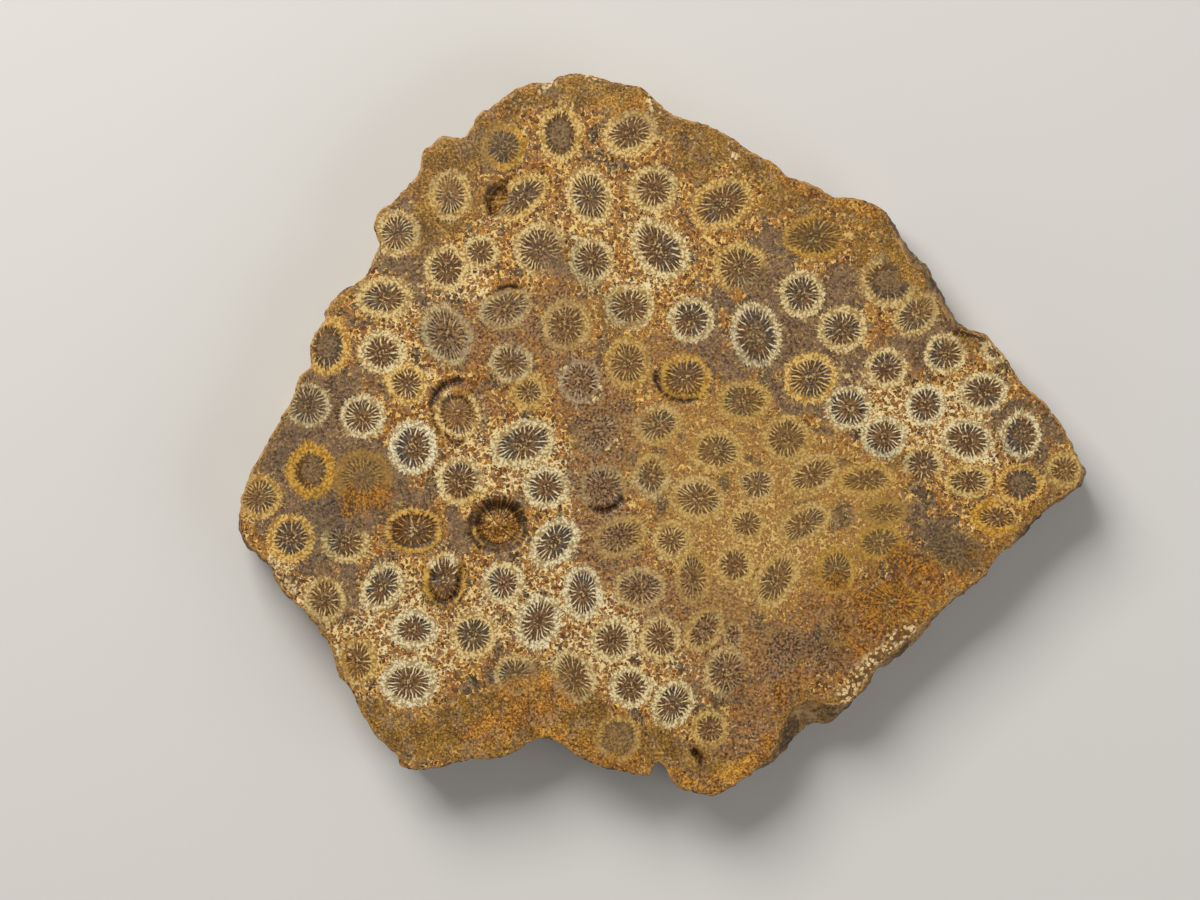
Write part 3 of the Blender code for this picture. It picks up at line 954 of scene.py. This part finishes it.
class Graph:
    """The nodes of one material or world. Most methods add a node and return its output."""

    def __init__(self, owner, shader="Principled BSDF"):
        owner.use_nodes = True
        self.owner = owner
        self.tree = owner.node_tree
        self.shader = self.tree.nodes[shader]

    def set(self, socket, value):
        if isinstance(value, Value):
            self.tree.links.new(value.socket, socket)
        else:
            socket.default_value = value

    def node(self, kind, inputs, **settings):
        made = self.tree.nodes.new("ShaderNode" + kind)
        for name, value in settings.items():
            setattr(made, name, value)
        for key, value in inputs.items():
            self.set(made.inputs[key], value)
        return made

    def add(self, kind, output, inputs, **settings):
        return Value(self, self.node(kind, inputs, **settings).outputs[output])

    def math(self, operation, *values):
        return self.add("Math", 0, dict(enumerate(values)), operation=operation)

    def most(self, *values):
        return self.math("MAXIMUM", *values)

    def along(self, start, end, share):
        """Start plus (end - start) * share, for plain numbers."""
        return self.add("MapRange", 0, {0: share, 1: 0.0, 2: 1.0, 3: start, 4: end})

    def line(self, value, low, high):
        """Runs evenly from 0 at low to 1 at high."""
        return self.add("MapRange", 0, {0: value, 1: low, 2: high, 3: 0.0, 4: 1.0})

    def step(self, value, low, high):
        """Runs smoothly from 0 at low to 1 at high."""
        inputs = {0: value, 1: low, 2: high, 3: 0.0, 4: 1.0}
        return self.add("MapRange", 0, inputs, interpolation_type="SMOOTHSTEP")

    def mix(self, share, first, second, blend_type="MIX"):
        """Between two colours. A colour given as three numbers is one seen on the stone."""
        inputs = {0: share}
        for key, colour in ((6, first), (7, second)):
            seen = isinstance(colour, tuple) and len(colour) == 3
            inputs[key] = stone(*colour) if seen else colour
        return self.add("Mix", 2, inputs, data_type="RGBA", blend_type=blend_type)

    def darken(self, share, first, second):
        return self.mix(share, first, second, "MULTIPLY")

    def carried(self, name):
        """A number that the mesh carries."""
        return self.add("Attribute", "Fac", {}, attribute_name=name)

    def carried_three(self, name):
        """Three numbers that the mesh carries as one vector."""
        return self.split(self.add("Attribute", "Vector", {}, attribute_name=name))

    def split(self, vector):
        made = self.node("SeparateXYZ", {0: vector})
        return [Value(self, output) for output in made.outputs]

    def join(self, x=0.0, y=0.0, z=0.0):
        return self.add("CombineXYZ", 0, {0: x, 1: y, 2: z})

    def vector(self, operation, *vectors):
        return self.add("VectorMath", 0, dict(enumerate(vectors)), operation=operation)

    def length(self, vector):
        return self.add("VectorMath", 1, {0: vector}, operation="LENGTH")

    def scaled(self, vector, factor):
        return self.add("VectorMath", 0, {0: vector, "Scale": factor}, operation="SCALE")

    def millimetres(self):
        """The place in the stone, in millimetres."""
        return self.scaled(self.add("TexCoord", "Object", {}), 1 / MM)

    def noise(self, vector, scale, detail=2.0, roughness=0.5):
        inputs = {"Vector": vector, "Scale": scale, "Detail": detail, "Roughness": roughness}
        return self.add("TexNoise", 0, inputs)

    def cells(self, vector, scale):
        """Cells about 1 / scale across: how far from the cell's middle, and its own three chances."""
        made = self.node("TexVoronoi", {"Vector": vector, "Scale": scale})
        return Value(self, made.outputs["Distance"]), self.split(Value(self, made.outputs["Color"]))

    def ramp(self, share, *stops):
        """A row of the stone's colours, each after the share at which it is reached."""
        made = self.node("ValToRGB", {0: share})
        elements = made.color_ramp.elements
        for i, (position, *colour) in enumerate(stops):
            element = elements[i] if i < len(elements) else elements.new(position)
            element.position = position
            element.color = stone(*colour)
        return Value(self, made.outputs[0])

    def bump(self, height, distance):
        self.set(self.shader.inputs["Normal"], self.add("Bump", 0, {"Height": height, "Distance": distance}))

    def finish(self, colour, roughness):
        self.shader.inputs["Specular IOR Level"].default_value = GLOSS
        self.set(self.shader.inputs["Base Color"], colour)
        self.set(self.shader.inputs["Roughness"], roughness)
        return self.owner


# ---- what a place of the stone is like, as named values ----


def calice_at(g):
    """What there is of the nearest corallite: its septa, its inside, its wall and its ring."""
    at = SimpleNamespace()
    at.along, at.across, seed = g.carried_three("calice")
    wall_along, wall_across, at.veil = g.carried_three("calice_wall")
    at.warm, at.core, at.radius = g.carried_three("calice_tone")
    at.worn_x, at.worn_y, at.septa = g.carried_three("calice_worn")
    at.seed = seed * SEED_SPREAD
    flat = g.join(at.along, at.across)
    at.direction_x, at.direction_y, _ = g.split(g.vector("NORMALIZE", flat))
    around = g.join(at.direction_x, at.direction_y, at.seed)
    swell = g.along(0.91, 1.09, g.noise(around, 1.5, 0.0))
    at.distance = g.length(flat) * swell
    at.outer = g.length(g.join(at.along * wall_along, at.across * wall_across)) * swell
    at.soft = g.along(1.0, 1.8, at.veil)
    add_septa(g, at)
    add_wall(g, at)
    return at


def add_septa(g, at):
    """The septa, counted round the calice: every second one is short."""
    bend = g.noise(g.join(at.along, at.across, at.seed), 3.0, 0.0) - 0.5
    at.turn = g.math("ARCTAN2", at.across, at.along) * at.septa * (0.5 / pi) + bend
    index = g.math("FLOOR", at.turn + 0.5)
    at.beside = abs(at.turn - index)
    own = g.join(g.math("FLOORED_MODULO", index, at.septa), at.seed)
    late, thick, at.chance = g.split(g.add("TexWhiteNoise", "Color", {"Vector": own}))
    pitch = at.distance * at.radius * (2 * pi) / at.septa
    half = g.along(*SEPTUM_HALF, at.distance) * g.along(*SEPTUM_WIDTHS, thick)
    blur = at.soft * 0.035
    septum = g.step(at.beside * pitch - half, blur, blur * -1.0)
    second = g.math("FLOORED_MODULO", index, 2.0)
    start = at.core + second * SHORT_SEPTA + late * LATE_SEPTA + 0.02
    at.septum = septum * g.step(at.distance - start, -0.05, 0.10)


def add_wall(g, at):
    """The wall, scalloped inside between the septa, and its ring, toothed outside."""
    scallop = g.step(at.beside, 0.05, 0.42) * g.along(0.0, SCALLOPS, at.chance)
    inner_edge = at.distance - (scallop + WALL_INSIDE)
    at.wall = g.step(inner_edge, at.soft * -0.025, at.soft * 0.025)
    tooth = g.math("PINGPONG", at.turn * 1.15, 0.5)
    spokes = g.join(at.direction_x * at.septa, at.direction_y * at.septa, at.seed)
    at.streaks = g.noise(spokes, 0.60, 1.0)
    teeth = g.step(tooth, 0.42, 0.14) * TEETH + g.step(at.streaks, 0.48, 0.70) * TEETH
    teeth = teeth + g.step(at.streaks, 0.60, 0.74) * LONG_TEETH
    outer_edge = at.outer - (teeth + RING_OUTSIDE)
    ring = g.step(outer_edge, at.soft * 0.015, at.soft * -0.015)
    facing = at.direction_x * at.worn_x + at.direction_y * at.worn_y
    at.ring = ring * g.step(facing, 0.85, 0.15) * g.along(0.30, 1.0, g.step(at.veil, 0.95, 0.60))
    at.within = g.step(outer_edge, 0.03, 0.0)
    # lines along the wall's inner edge and the ring's outer edge, used below as partly painted shade of the
    # amber corallites' grooves
    at.outline = g.most(band(g, inner_edge, 0.08), band(g, outer_edge, 0.04))


def band(g, edge, width):
    """A soft line along an edge."""
    return g.step(abs(edge), width, 0.3 * width)


def face_at(g):
    """Everything that the polished stone's looks depend on."""
    at = calice_at(g)
    for name in (*STAINS, *CLOUDS, "hollow", "slope", "rippled"):
        setattr(at, name, g.carried(name))
    at.amber = at.amber * at.within
    at.pale = cream(g, g.most(at.warm, at.haze * 0.40))
    at.place = g.millimetres()
    at.fine = g.noise(at.place, FINE_PER_MM, 3.0, 0.65)
    at.grit = g.noise(at.place, GRIT_PER_MM, 3.0, 0.7)
    wobble = g.add("TexNoise", "Color", {"Vector": at.place, "Scale": WOBBLES_PER_MM, "Detail": 0.0})
    at.wobbled = g.vector("ADD", at.place, g.scaled(wobble, 0.6))
    at.cells = g.cells(at.wobbled, SPECKS_PER_MM)
    return at


# ---- the polished stone, layer by layer ----


def cream(g, warm):
    """The pale skeleton's colour, from white through gold to ochre."""
    return g.ramp(
        warm,
        (0.0, 200, 191, 161),
        (0.15, 198, 184, 144),
        (0.40, 196, 168, 106),
        (1.0, 192, 149, 66),
    )


def grains(g, at, chance, greyness):
    """The brown, orange and grey grains between the corallites."""
    brown = g.ramp(
        chance,
        (0.0, 66, 42, 28),
        (0.20, 102, 66, 34),
        (0.45, 134, 88, 40),
        (0.70, 156, 112, 54),
        (0.85, 120, 92, 66),
        (1.0, 92, 74, 60),
    )
    brown = g.mix(at.haze * 0.45, brown, (156, 120, 66))
    grey = g.ramp(chance, (0.0, 58, 44, 34), (0.6, 90, 74, 56), (1.0, 132, 110, 78))
    return g.mix(greyness, brown, grey)


def coenosteum(g, at):
    """The stone between the corallites: grains in a cream net, with loose crumbs."""
    away, (chance, chance_more, chance_third) = g.cells(at.wobbled, GRAINS_PER_MM)
    greyness = g.step(at.patches + at.agate * 0.45 - at.bright * 0.05, 0.60, 0.72)
    near_ring = g.step(at.outer, 1.45, 1.0)
    plenty = at.bright * 0.22 + near_ring * 0.10 + at.thickets * 0.50 + 0.06
    plenty = plenty - (greyness * 0.30 + (at.iron * 0.9 + at.mauve) * 0.35)
    rough = (at.fine - 0.5) * 0.75
    reach = g.along(0.84, 0.40, plenty) + (chance_more - 0.5) * 0.24
    edge = away + rough - reach
    colour = grains(g, at, chance, greyness)
    colour = g.darken(g.step(edge, -0.20, -0.04), colour, (0.72, 0.62, 0.52, 1.0))
    golden = g.along(0.60, 0.24, at.bright) - (chance_third - 0.5) * 0.5
    net = cream(g, g.most(golden, at.haze * 0.45))
    net = g.darken(g.step(edge, 0.22, 0.05), net, (0.80, 0.72, 0.62, 1.0))
    colour = g.mix(g.step(edge, -0.05, 0.05), colour, net)

    crumb, (crumb_chance, crumb_tone, _) = g.cells(at.wobbled, CRUMBS_PER_MM)
    few = g.along(0.86, 0.42, plenty)
    crumbs = g.step(crumb + rough, 0.45, 0.32) * g.step(crumb_chance - few, 0.0, 0.05)
    crumb_colour = g.ramp(
        crumb_tone,
        (0.3, 74, 44, 24),
        (0.42, 176, 122, 52),
        (0.55, 190, 158, 100),
        (1.0, 198, 180, 140),
    )
    return g.mix(crumbs * 0.9, colour, crumb_colour)


def ring_layer(g, at, surface):
    """The cream rings, brown where they are amber."""
    grain = at.fine * 0.66 + at.cells[0] * 0.34 + at.streaks * 0.10
    gold = g.mix(g.step(grain, 0.58, 0.70), (178, 140, 66), (92, 58, 18))
    dull = g.darken(1.0, at.pale, (0.44, 0.34, 0.22, 1.0))
    colour = g.mix(g.step(grain, 0.49, 0.62), at.pale, dull)
    return g.mix(at.ring, surface, g.mix(at.amber, colour, gold))


def locules(g, at):
    """The dark stone between the septa."""
    grey = g.mix(g.step(at.broad + at.agate * 0.3, 0.45, 0.70), (84, 60, 38), (66, 57, 50))
    brown = g.mix(g.step(at.broad, 0.4, 0.6), (60, 34, 10), (98, 66, 28))
    colour = g.mix(at.amber, grey, brown)
    colour = g.mix(g.step(at.fine, 0.55, 0.72), colour, (138, 112, 76))
    colour = g.darken(g.step(at.fine, 0.48, 0.36), colour, (0.56, 0.52, 0.50, 1.0))
    inner = g.step(at.distance, 0.80, 0.35) * g.step(at.grit, 0.40, 0.60) * 0.5
    return g.mix(inner, colour, (122, 90, 58))


def middles(g, at):
    """A corallite's spongy middle, or the plain stone that fills a few of them."""
    sponge = g.mix(at.amber, (72, 52, 36), (96, 58, 20))
    sponge = g.mix(g.step(at.fine, 0.52, 0.60), sponge, (168, 144, 98))
    filling = g.step(at.streaks * 0.5 + at.fine * 0.5, 0.42, 0.60)
    filling = g.mix(filling, (76, 61, 46), (126, 104, 74))
    return g.mix(g.step(at.core, 0.4, 0.5), sponge, filling)


def inside_layer(g, at, surface):
    """What lies inside the walls: dark stone, pale septa and the middle."""
    septa = g.mix(g.step(at.distance, 0.10, 0.75), (140, 116, 80), at.pale)
    brown = at.amber * g.step(at.distance, 0.25, 0.60) * 0.8
    septa = g.mix(brown, septa, (146, 98, 38))
    whole = g.along(0.60, 1.0, g.step(at.fine, 0.34, 0.48))
    colour = g.mix(at.septum * whole, locules(g, at), septa)
    in_middle = g.step(at.distance - at.core, 0.10, -0.08)
    colour = g.mix(in_middle * 0.85, colour, middles(g, at))
    surface = g.mix(1.0 - at.wall, surface, colour)
    # dark brown along the amber rings' edges: partly the stone's own colour, partly painted shade of their
    # grooves
    return g.mix(at.amber * at.outline * 0.80, surface, (42, 24, 8))


def clear_layer(g, at, surface):
    """The clear stone over the corallites: its veils, the ochre haze, and mauve and grey patches."""
    over = g.step(at.outer, 1.25, 0.95)
    tan = g.mix(g.step(at.fine, 0.30, 0.70), (98, 70, 38), (154, 120, 70))
    tan = g.mix(at.warm * over * 0.8, tan, g.mix(at.fine, (104, 78, 26), (166, 130, 52)))
    hue = g.step(at.grit, 0.42, 0.58)
    mauve = g.mix(hue, (134, 109, 90), (156, 116, 66))
    mauve = g.mix(g.step(at.fine, 0.38, 0.62), (62, 44, 32), mauve)
    surface = g.mix(at.veil * over * 0.40, surface, g.mix(at.mauve, tan, mauve))
    surface = g.darken(at.veil * over * 0.85, surface, (0.76, 0.75, 0.74, 1.0))
    surface = g.mix(at.haze * g.along(0.14, 0.28, at.wall), surface, tan)
    uneven = g.along(0.60, 1.35, at.patches)
    surface = g.mix(at.mauve * g.along(0.52, 0.30, at.ring) * uneven, surface, mauve)
    pale = g.mix(hue, (112, 91, 77), (136, 104, 64))
    dark = g.mix(g.step(at.thickets, 0.42, 0.60), (64, 49, 38), (98, 78, 58))
    grey = g.mix(g.step(at.fine, 0.34, 0.66), dark, pale)
    return g.mix(at.agate * g.along(0.64, 0.05, at.ring) * uneven, surface, grey)


def crusted(g, at):
    """The crust along the rim: ochre and orange, with grey, pale and dark specks."""
    away, (chance, chance_more, _) = at.cells
    sand = g.noise(at.place, SAND_PER_MM, 2.0, 0.6) * 0.55 + at.fine * 0.45 + at.patches * 0.20 - 0.10
    olive = g.ramp(
        sand,
        (0.36, 48, 31, 10),
        (0.46, 92, 64, 17),
        (0.54, 120, 86, 25),
        (0.64, 166, 126, 52),
    )
    orange = g.ramp(sand, (0.36, 50, 28, 8), (0.46, 112, 70, 18), (0.54, 156, 104, 26), (0.64, 190, 150, 72))
    colour = g.mix(at.iron, olive, orange)
    grey = g.mix(g.step(at.fine, 0.36, 0.62), (66, 50, 38), (120, 102, 82))
    colour = g.mix(g.step(at.thickets, 0.56, 0.68) * 0.48, colour, grey)
    speck = g.step(away, 0.55, 0.35)
    colour = g.mix(speck * g.step(chance, 0.84, 0.90) * 0.9, colour, (50, 30, 14))
    return g.mix(speck * g.step(chance_more, 0.82, 0.88) * 0.6, colour, (180, 144, 82))


def crust_layer(g, at, surface):
    """The rusty stains, the crust, and the places that are darker than the rest."""
    stripes = at.fine * 0.6 + at.streaks * 0.4
    rust = g.mix(g.step(stripes, 0.46, 0.58), (78, 50, 24), (168, 110, 28))
    rusty = at.iron * g.along(0.25, 0.75, g.step(at.patches, 0.35, 0.60))
    surface = g.mix(rusty, surface, rust)
    surface = g.mix(at.crust * g.along(0.90, 0.40, at.ring), surface, crusted(g, at))
    return g.darken(at.shade * 0.85, surface, (0.70, 0.76, 0.88, 1.0))


def hollow_layer(g, at, surface):
    """The hollows: their steep walls, brown stone with golden streaks darkened as painted shade, the golden
    crystals on their floors, and painted shade along their edges.
    """
    # painted shade: the steeper a wall, the more it takes these dark browns, over the wall's own golden
    # streaks
    wall = g.ramp(
        at.streaks * 0.5 + at.fine * 0.5,
        (0.42, 26, 15, 5),
        (0.50, 76, 46, 14),
        (0.60, 168, 122, 48),
    )
    steep = g.step(at.slope, 0.10, 0.40) * g.along(0.35, 0.95, g.step(at.hollow, 0.3, 0.9))
    surface = g.mix(steep, surface, wall)
    crystals = g.ramp(
        at.fine * 0.6 + at.streaks * 0.4,
        (0.40, 42, 22, 4),
        (0.49, 104, 64, 10),
        (0.58, 158, 116, 38),
        (0.67, 206, 192, 158),
    )
    surface = g.mix(g.step(at.hollow, 1.0, 1.4), surface, crystals)
    # painted shade along the hollows' edges and in the small pits
    hollow_shade_colour = g.mix(g.step(at.fine + at.streaks, 1.02, 1.22), (34, 19, 5), (124, 80, 24))
    return g.mix(at.dark * 0.92, surface, hollow_shade_colour)


def chalk_layer(g, at, surface):
    """Pale crumbs stuck to the face, with brown gaps between them."""
    away, (chance, _, _) = g.cells(at.wobbled, CHALK_PER_MM)
    away = away + (at.fine - 0.5) * 0.7
    surface = g.mix(at.chalk * g.step(away, 0.45, 0.60) * 0.7, surface, (78, 54, 28))
    crumb = g.step(away, 0.56, 0.44) * g.step(chance, 0.15, 0.25)
    return g.mix(at.chalk * crumb, surface, g.mix(at.fine, (160, 132, 84), (212, 192, 150)))


def face_colour(g, at):
    """All the layers of the polished stone, over each other."""
    surface = coenosteum(g, at)
    for layer in (ring_layer, inside_layer, clear_layer, crust_layer, hollow_layer, chalk_layer):
        surface = layer(g, at, surface)
    return g.darken(g.line(at.fine, 0.58, 0.30), surface, (0.70, 0.68, 0.66, 1.0))


# ---- the three finishes ----


def polished_coral():
    """The polished face, glossy apart from its crust and hollows."""
    g = Graph(bpy.data.materials.new("polished_coral"))
    at = face_at(g)
    g.bump(at.grit * g.along(0.25, 1.6, at.crust), FACE_BUMP)
    hollowed_out = g.most(g.step(at.slope, 0.05, 0.4), g.step(at.hollow, 0.2, 0.6))
    rough = g.along(0.22, 0.34, at.fine) + at.crust * 0.22 + hollowed_out * 0.30 - at.rippled * 0.15
    return g.finish(face_colour(g, at), rough)


def sawn_coral():
    """The back: the same stone, dull and finely lined by the saw."""
    g = Graph(bpy.data.materials.new("sawn_coral"))
    at = face_at(g)
    dusty = g.mix(0.35, face_colour(g, at), (140, 116, 84))
    wave = {"Vector": at.place, "Scale": 0.55, "Distortion": 0.6}
    lines = g.add("TexWave", 1, wave, bands_direction="DIAGONAL")
    g.bump(at.grit + lines * 0.8, SAW_BUMP)
    return g.finish(dusty, g.along(0.62, 0.80, at.fine))


def weathered_rim():
    """The natural outside: brown crust with pale crumbs, and the corallites' tubes running down it."""
    g = Graph(bpy.data.materials.new("weathered_rim"))
    at = calice_at(g)
    place = g.millimetres()
    _, _, height = g.split(place)
    broad = g.noise(place, 0.16, 3.0, 0.6)
    grit = g.noise(place, GRIT_PER_MM, 5.0, 0.7)
    ribs = g.noise(g.vector("MULTIPLY", place, (1.0, 1.0, 0.3)), 0.9, 3.0, 0.6)
    colour = g.ramp(
        broad * 0.60 + ribs * 0.40,
        (0.36, 42, 28, 15),
        (0.46, 80, 56, 30),
        (0.54, 120, 88, 46),
        (0.64, 156, 128, 84),
    )
    tubes = g.most(at.ring, at.septum * 0.6) * g.step(broad, 0.36, 0.50)
    colour = g.mix(tubes * 0.60, colour, (180, 152, 106))
    near_face = g.step(height, 11.5, 14.0)
    colour = g.mix(near_face * g.step(grit, 0.42, 0.56) * 0.8, colour, (156, 112, 46))
    colour = g.mix(g.step(grit, 0.56, 0.66) * 0.8, colour, (174, 148, 102))
    colour = g.mix(g.step(grit, 0.46, 0.34), colour, (34, 23, 13))
    away, (chance, _, _) = g.cells(place, CHALK_PER_MM)
    crumb = g.step(away, 0.50, 0.36) * g.step(chance, 0.35, 0.45) * g.step(height, 7.0, 12.0)
    colour = g.mix(g.carried("chalk") * crumb, colour, (196, 170, 122))
    g.bump(grit + ribs * 0.6, RIM_BUMP)
    return g.finish(colour, g.along(0.55, 0.85, grit))


# ---- the slab ----


def make_slab(rings):
    """The slab as one closed mesh with its three finishes."""
    vertices, triangles, kinds, grid = body_mesh(rings)
    mesh = bpy.data.meshes.new("coral_slab_stone")
    mesh.from_pydata(vertices.tolist(), [], triangles.tolist())
    for material in (polished_coral(), weathered_rim(), sawn_coral()):
        mesh.materials.append(material)
    mesh.polygons.foreach_set("material_index", kinds)
    mesh.shade_smooth()
    places = surface_map(vertices, triangles, kinds, grid)
    mesh.uv_layers.new(name=MAP_NAME).data.foreach_set("uv", in_a_row(places))
    for name, values in corner_values(vertices, triangles).items():
        mesh.attributes.new(name, "FLOAT_VECTOR", "CORNER").data.foreach_set("vector", in_a_row(values))
    for name, values in vertex_values(vertices).items():
        mesh.attributes.new(name, "FLOAT", "POINT").data.foreach_set("value", in_a_row(values))
    mesh.update()
    slab = bpy.data.objects.new("fossil_coral_slab", mesh)
    bpy.context.scene.collection.objects.link(slab)
    print("slab", len(vertices), "vertices", len(triangles), "triangles")
    return slab


def in_a_row(values):
    """The values one after the other, as Blender takes them in."""
    return values.astype(np.float32).reshape(-1)


# ---- floor, light and camera ----

FLOOR_SIZE = 3.0
FLOOR_COLOUR, FLOOR_ROUGHNESS = (0.62, 0.61, 0.59, 1.0), 0.85
LENS = 100.0
NEAREST = 0.01  # the camera sees nothing that is closer
VIEW_WIDTH = 1200 * UNIT  # across the whole picture at the polished face
VIEW_MIDDLE = (600.0, 450.0)  # on the sheet
WORLD_COLOUR = (1.0, 0.97, 0.93, 1.0)
WORLD_LOW, WORLD_HIGH = 0.50, 0.10  # the world's light near the floor and straight above

# The lights: name, place, size, watts and colour.
LIGHTS = [
    ("key", (-0.35, 0.55, 0.65), 0.5, 9.5, (1.0, 0.97, 0.92)),
    ("fill", (0.6, -0.3, 0.5), 0.6, 2.0, (0.95, 0.97, 1.0)),
]


def make_floor():
    """The pale floor that the slab lies on."""
    bpy.ops.mesh.primitive_plane_add(size=FLOOR_SIZE, location=(0, 0, 0))
    floor = bpy.context.object
    floor.name = "floor"
    g = Graph(bpy.data.materials.new("pale_floor"))
    floor.data.materials.append(g.finish(FLOOR_COLOUR, FLOOR_ROUGHNESS))


def make_light(name, place, size, power, colour):
    """A square soft light that faces the slab."""
    data = bpy.data.lights.new(name, "AREA")
    data.size = size
    data.energy = power
    data.color = colour
    light = bpy.data.objects.new(name, data)
    light.location = place
    light.rotation_euler = (-Vector(place)).to_track_quat("-Z", "Y").to_euler()
    bpy.context.scene.collection.objects.link(light)


def make_world():
    """Soft light from all round, weaker from straight above."""
    world = bpy.data.worlds.new("studio")
    g = Graph(world, "Background")
    _, _, height = g.split(g.add("TexCoord", "Generated", {}))
    g.set(g.shader.inputs["Color"], WORLD_COLOUR)
    g.set(g.shader.inputs["Strength"], g.along(WORLD_LOW, WORLD_HIGH, g.step(height, 0.1, 0.9)))
    bpy.context.scene.world = world


def make_camera():
    """A camera straight above the middle of the view."""
    data = bpy.data.cameras.new("camera")
    data.lens = LENS
    data.clip_start = NEAREST
    distance = VIEW_WIDTH * LENS / data.sensor_width
    camera = bpy.data.objects.new("camera", data)
    x = cad_box[0].x + (VIEW_MIDDLE[0] - SHEET_LEFT) * UNIT
    y = cad_box[1].y - (VIEW_MIDDLE[1] - SHEET_TOP) * UNIT
    camera.location = (x, y, THICKNESS + distance)
    bpy.context.scene.collection.objects.link(camera)
    bpy.context.scene.camera = camera


slab = make_slab(outline_rings(*cad_corners(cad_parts["coral_slab"])))
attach(slab, "root")
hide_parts("coral_slab")

make_floor()
for light in LIGHTS:
    make_light(*light)
make_world()
make_camera()
bpy.context.scene.view_settings.view_transform = "Standard"
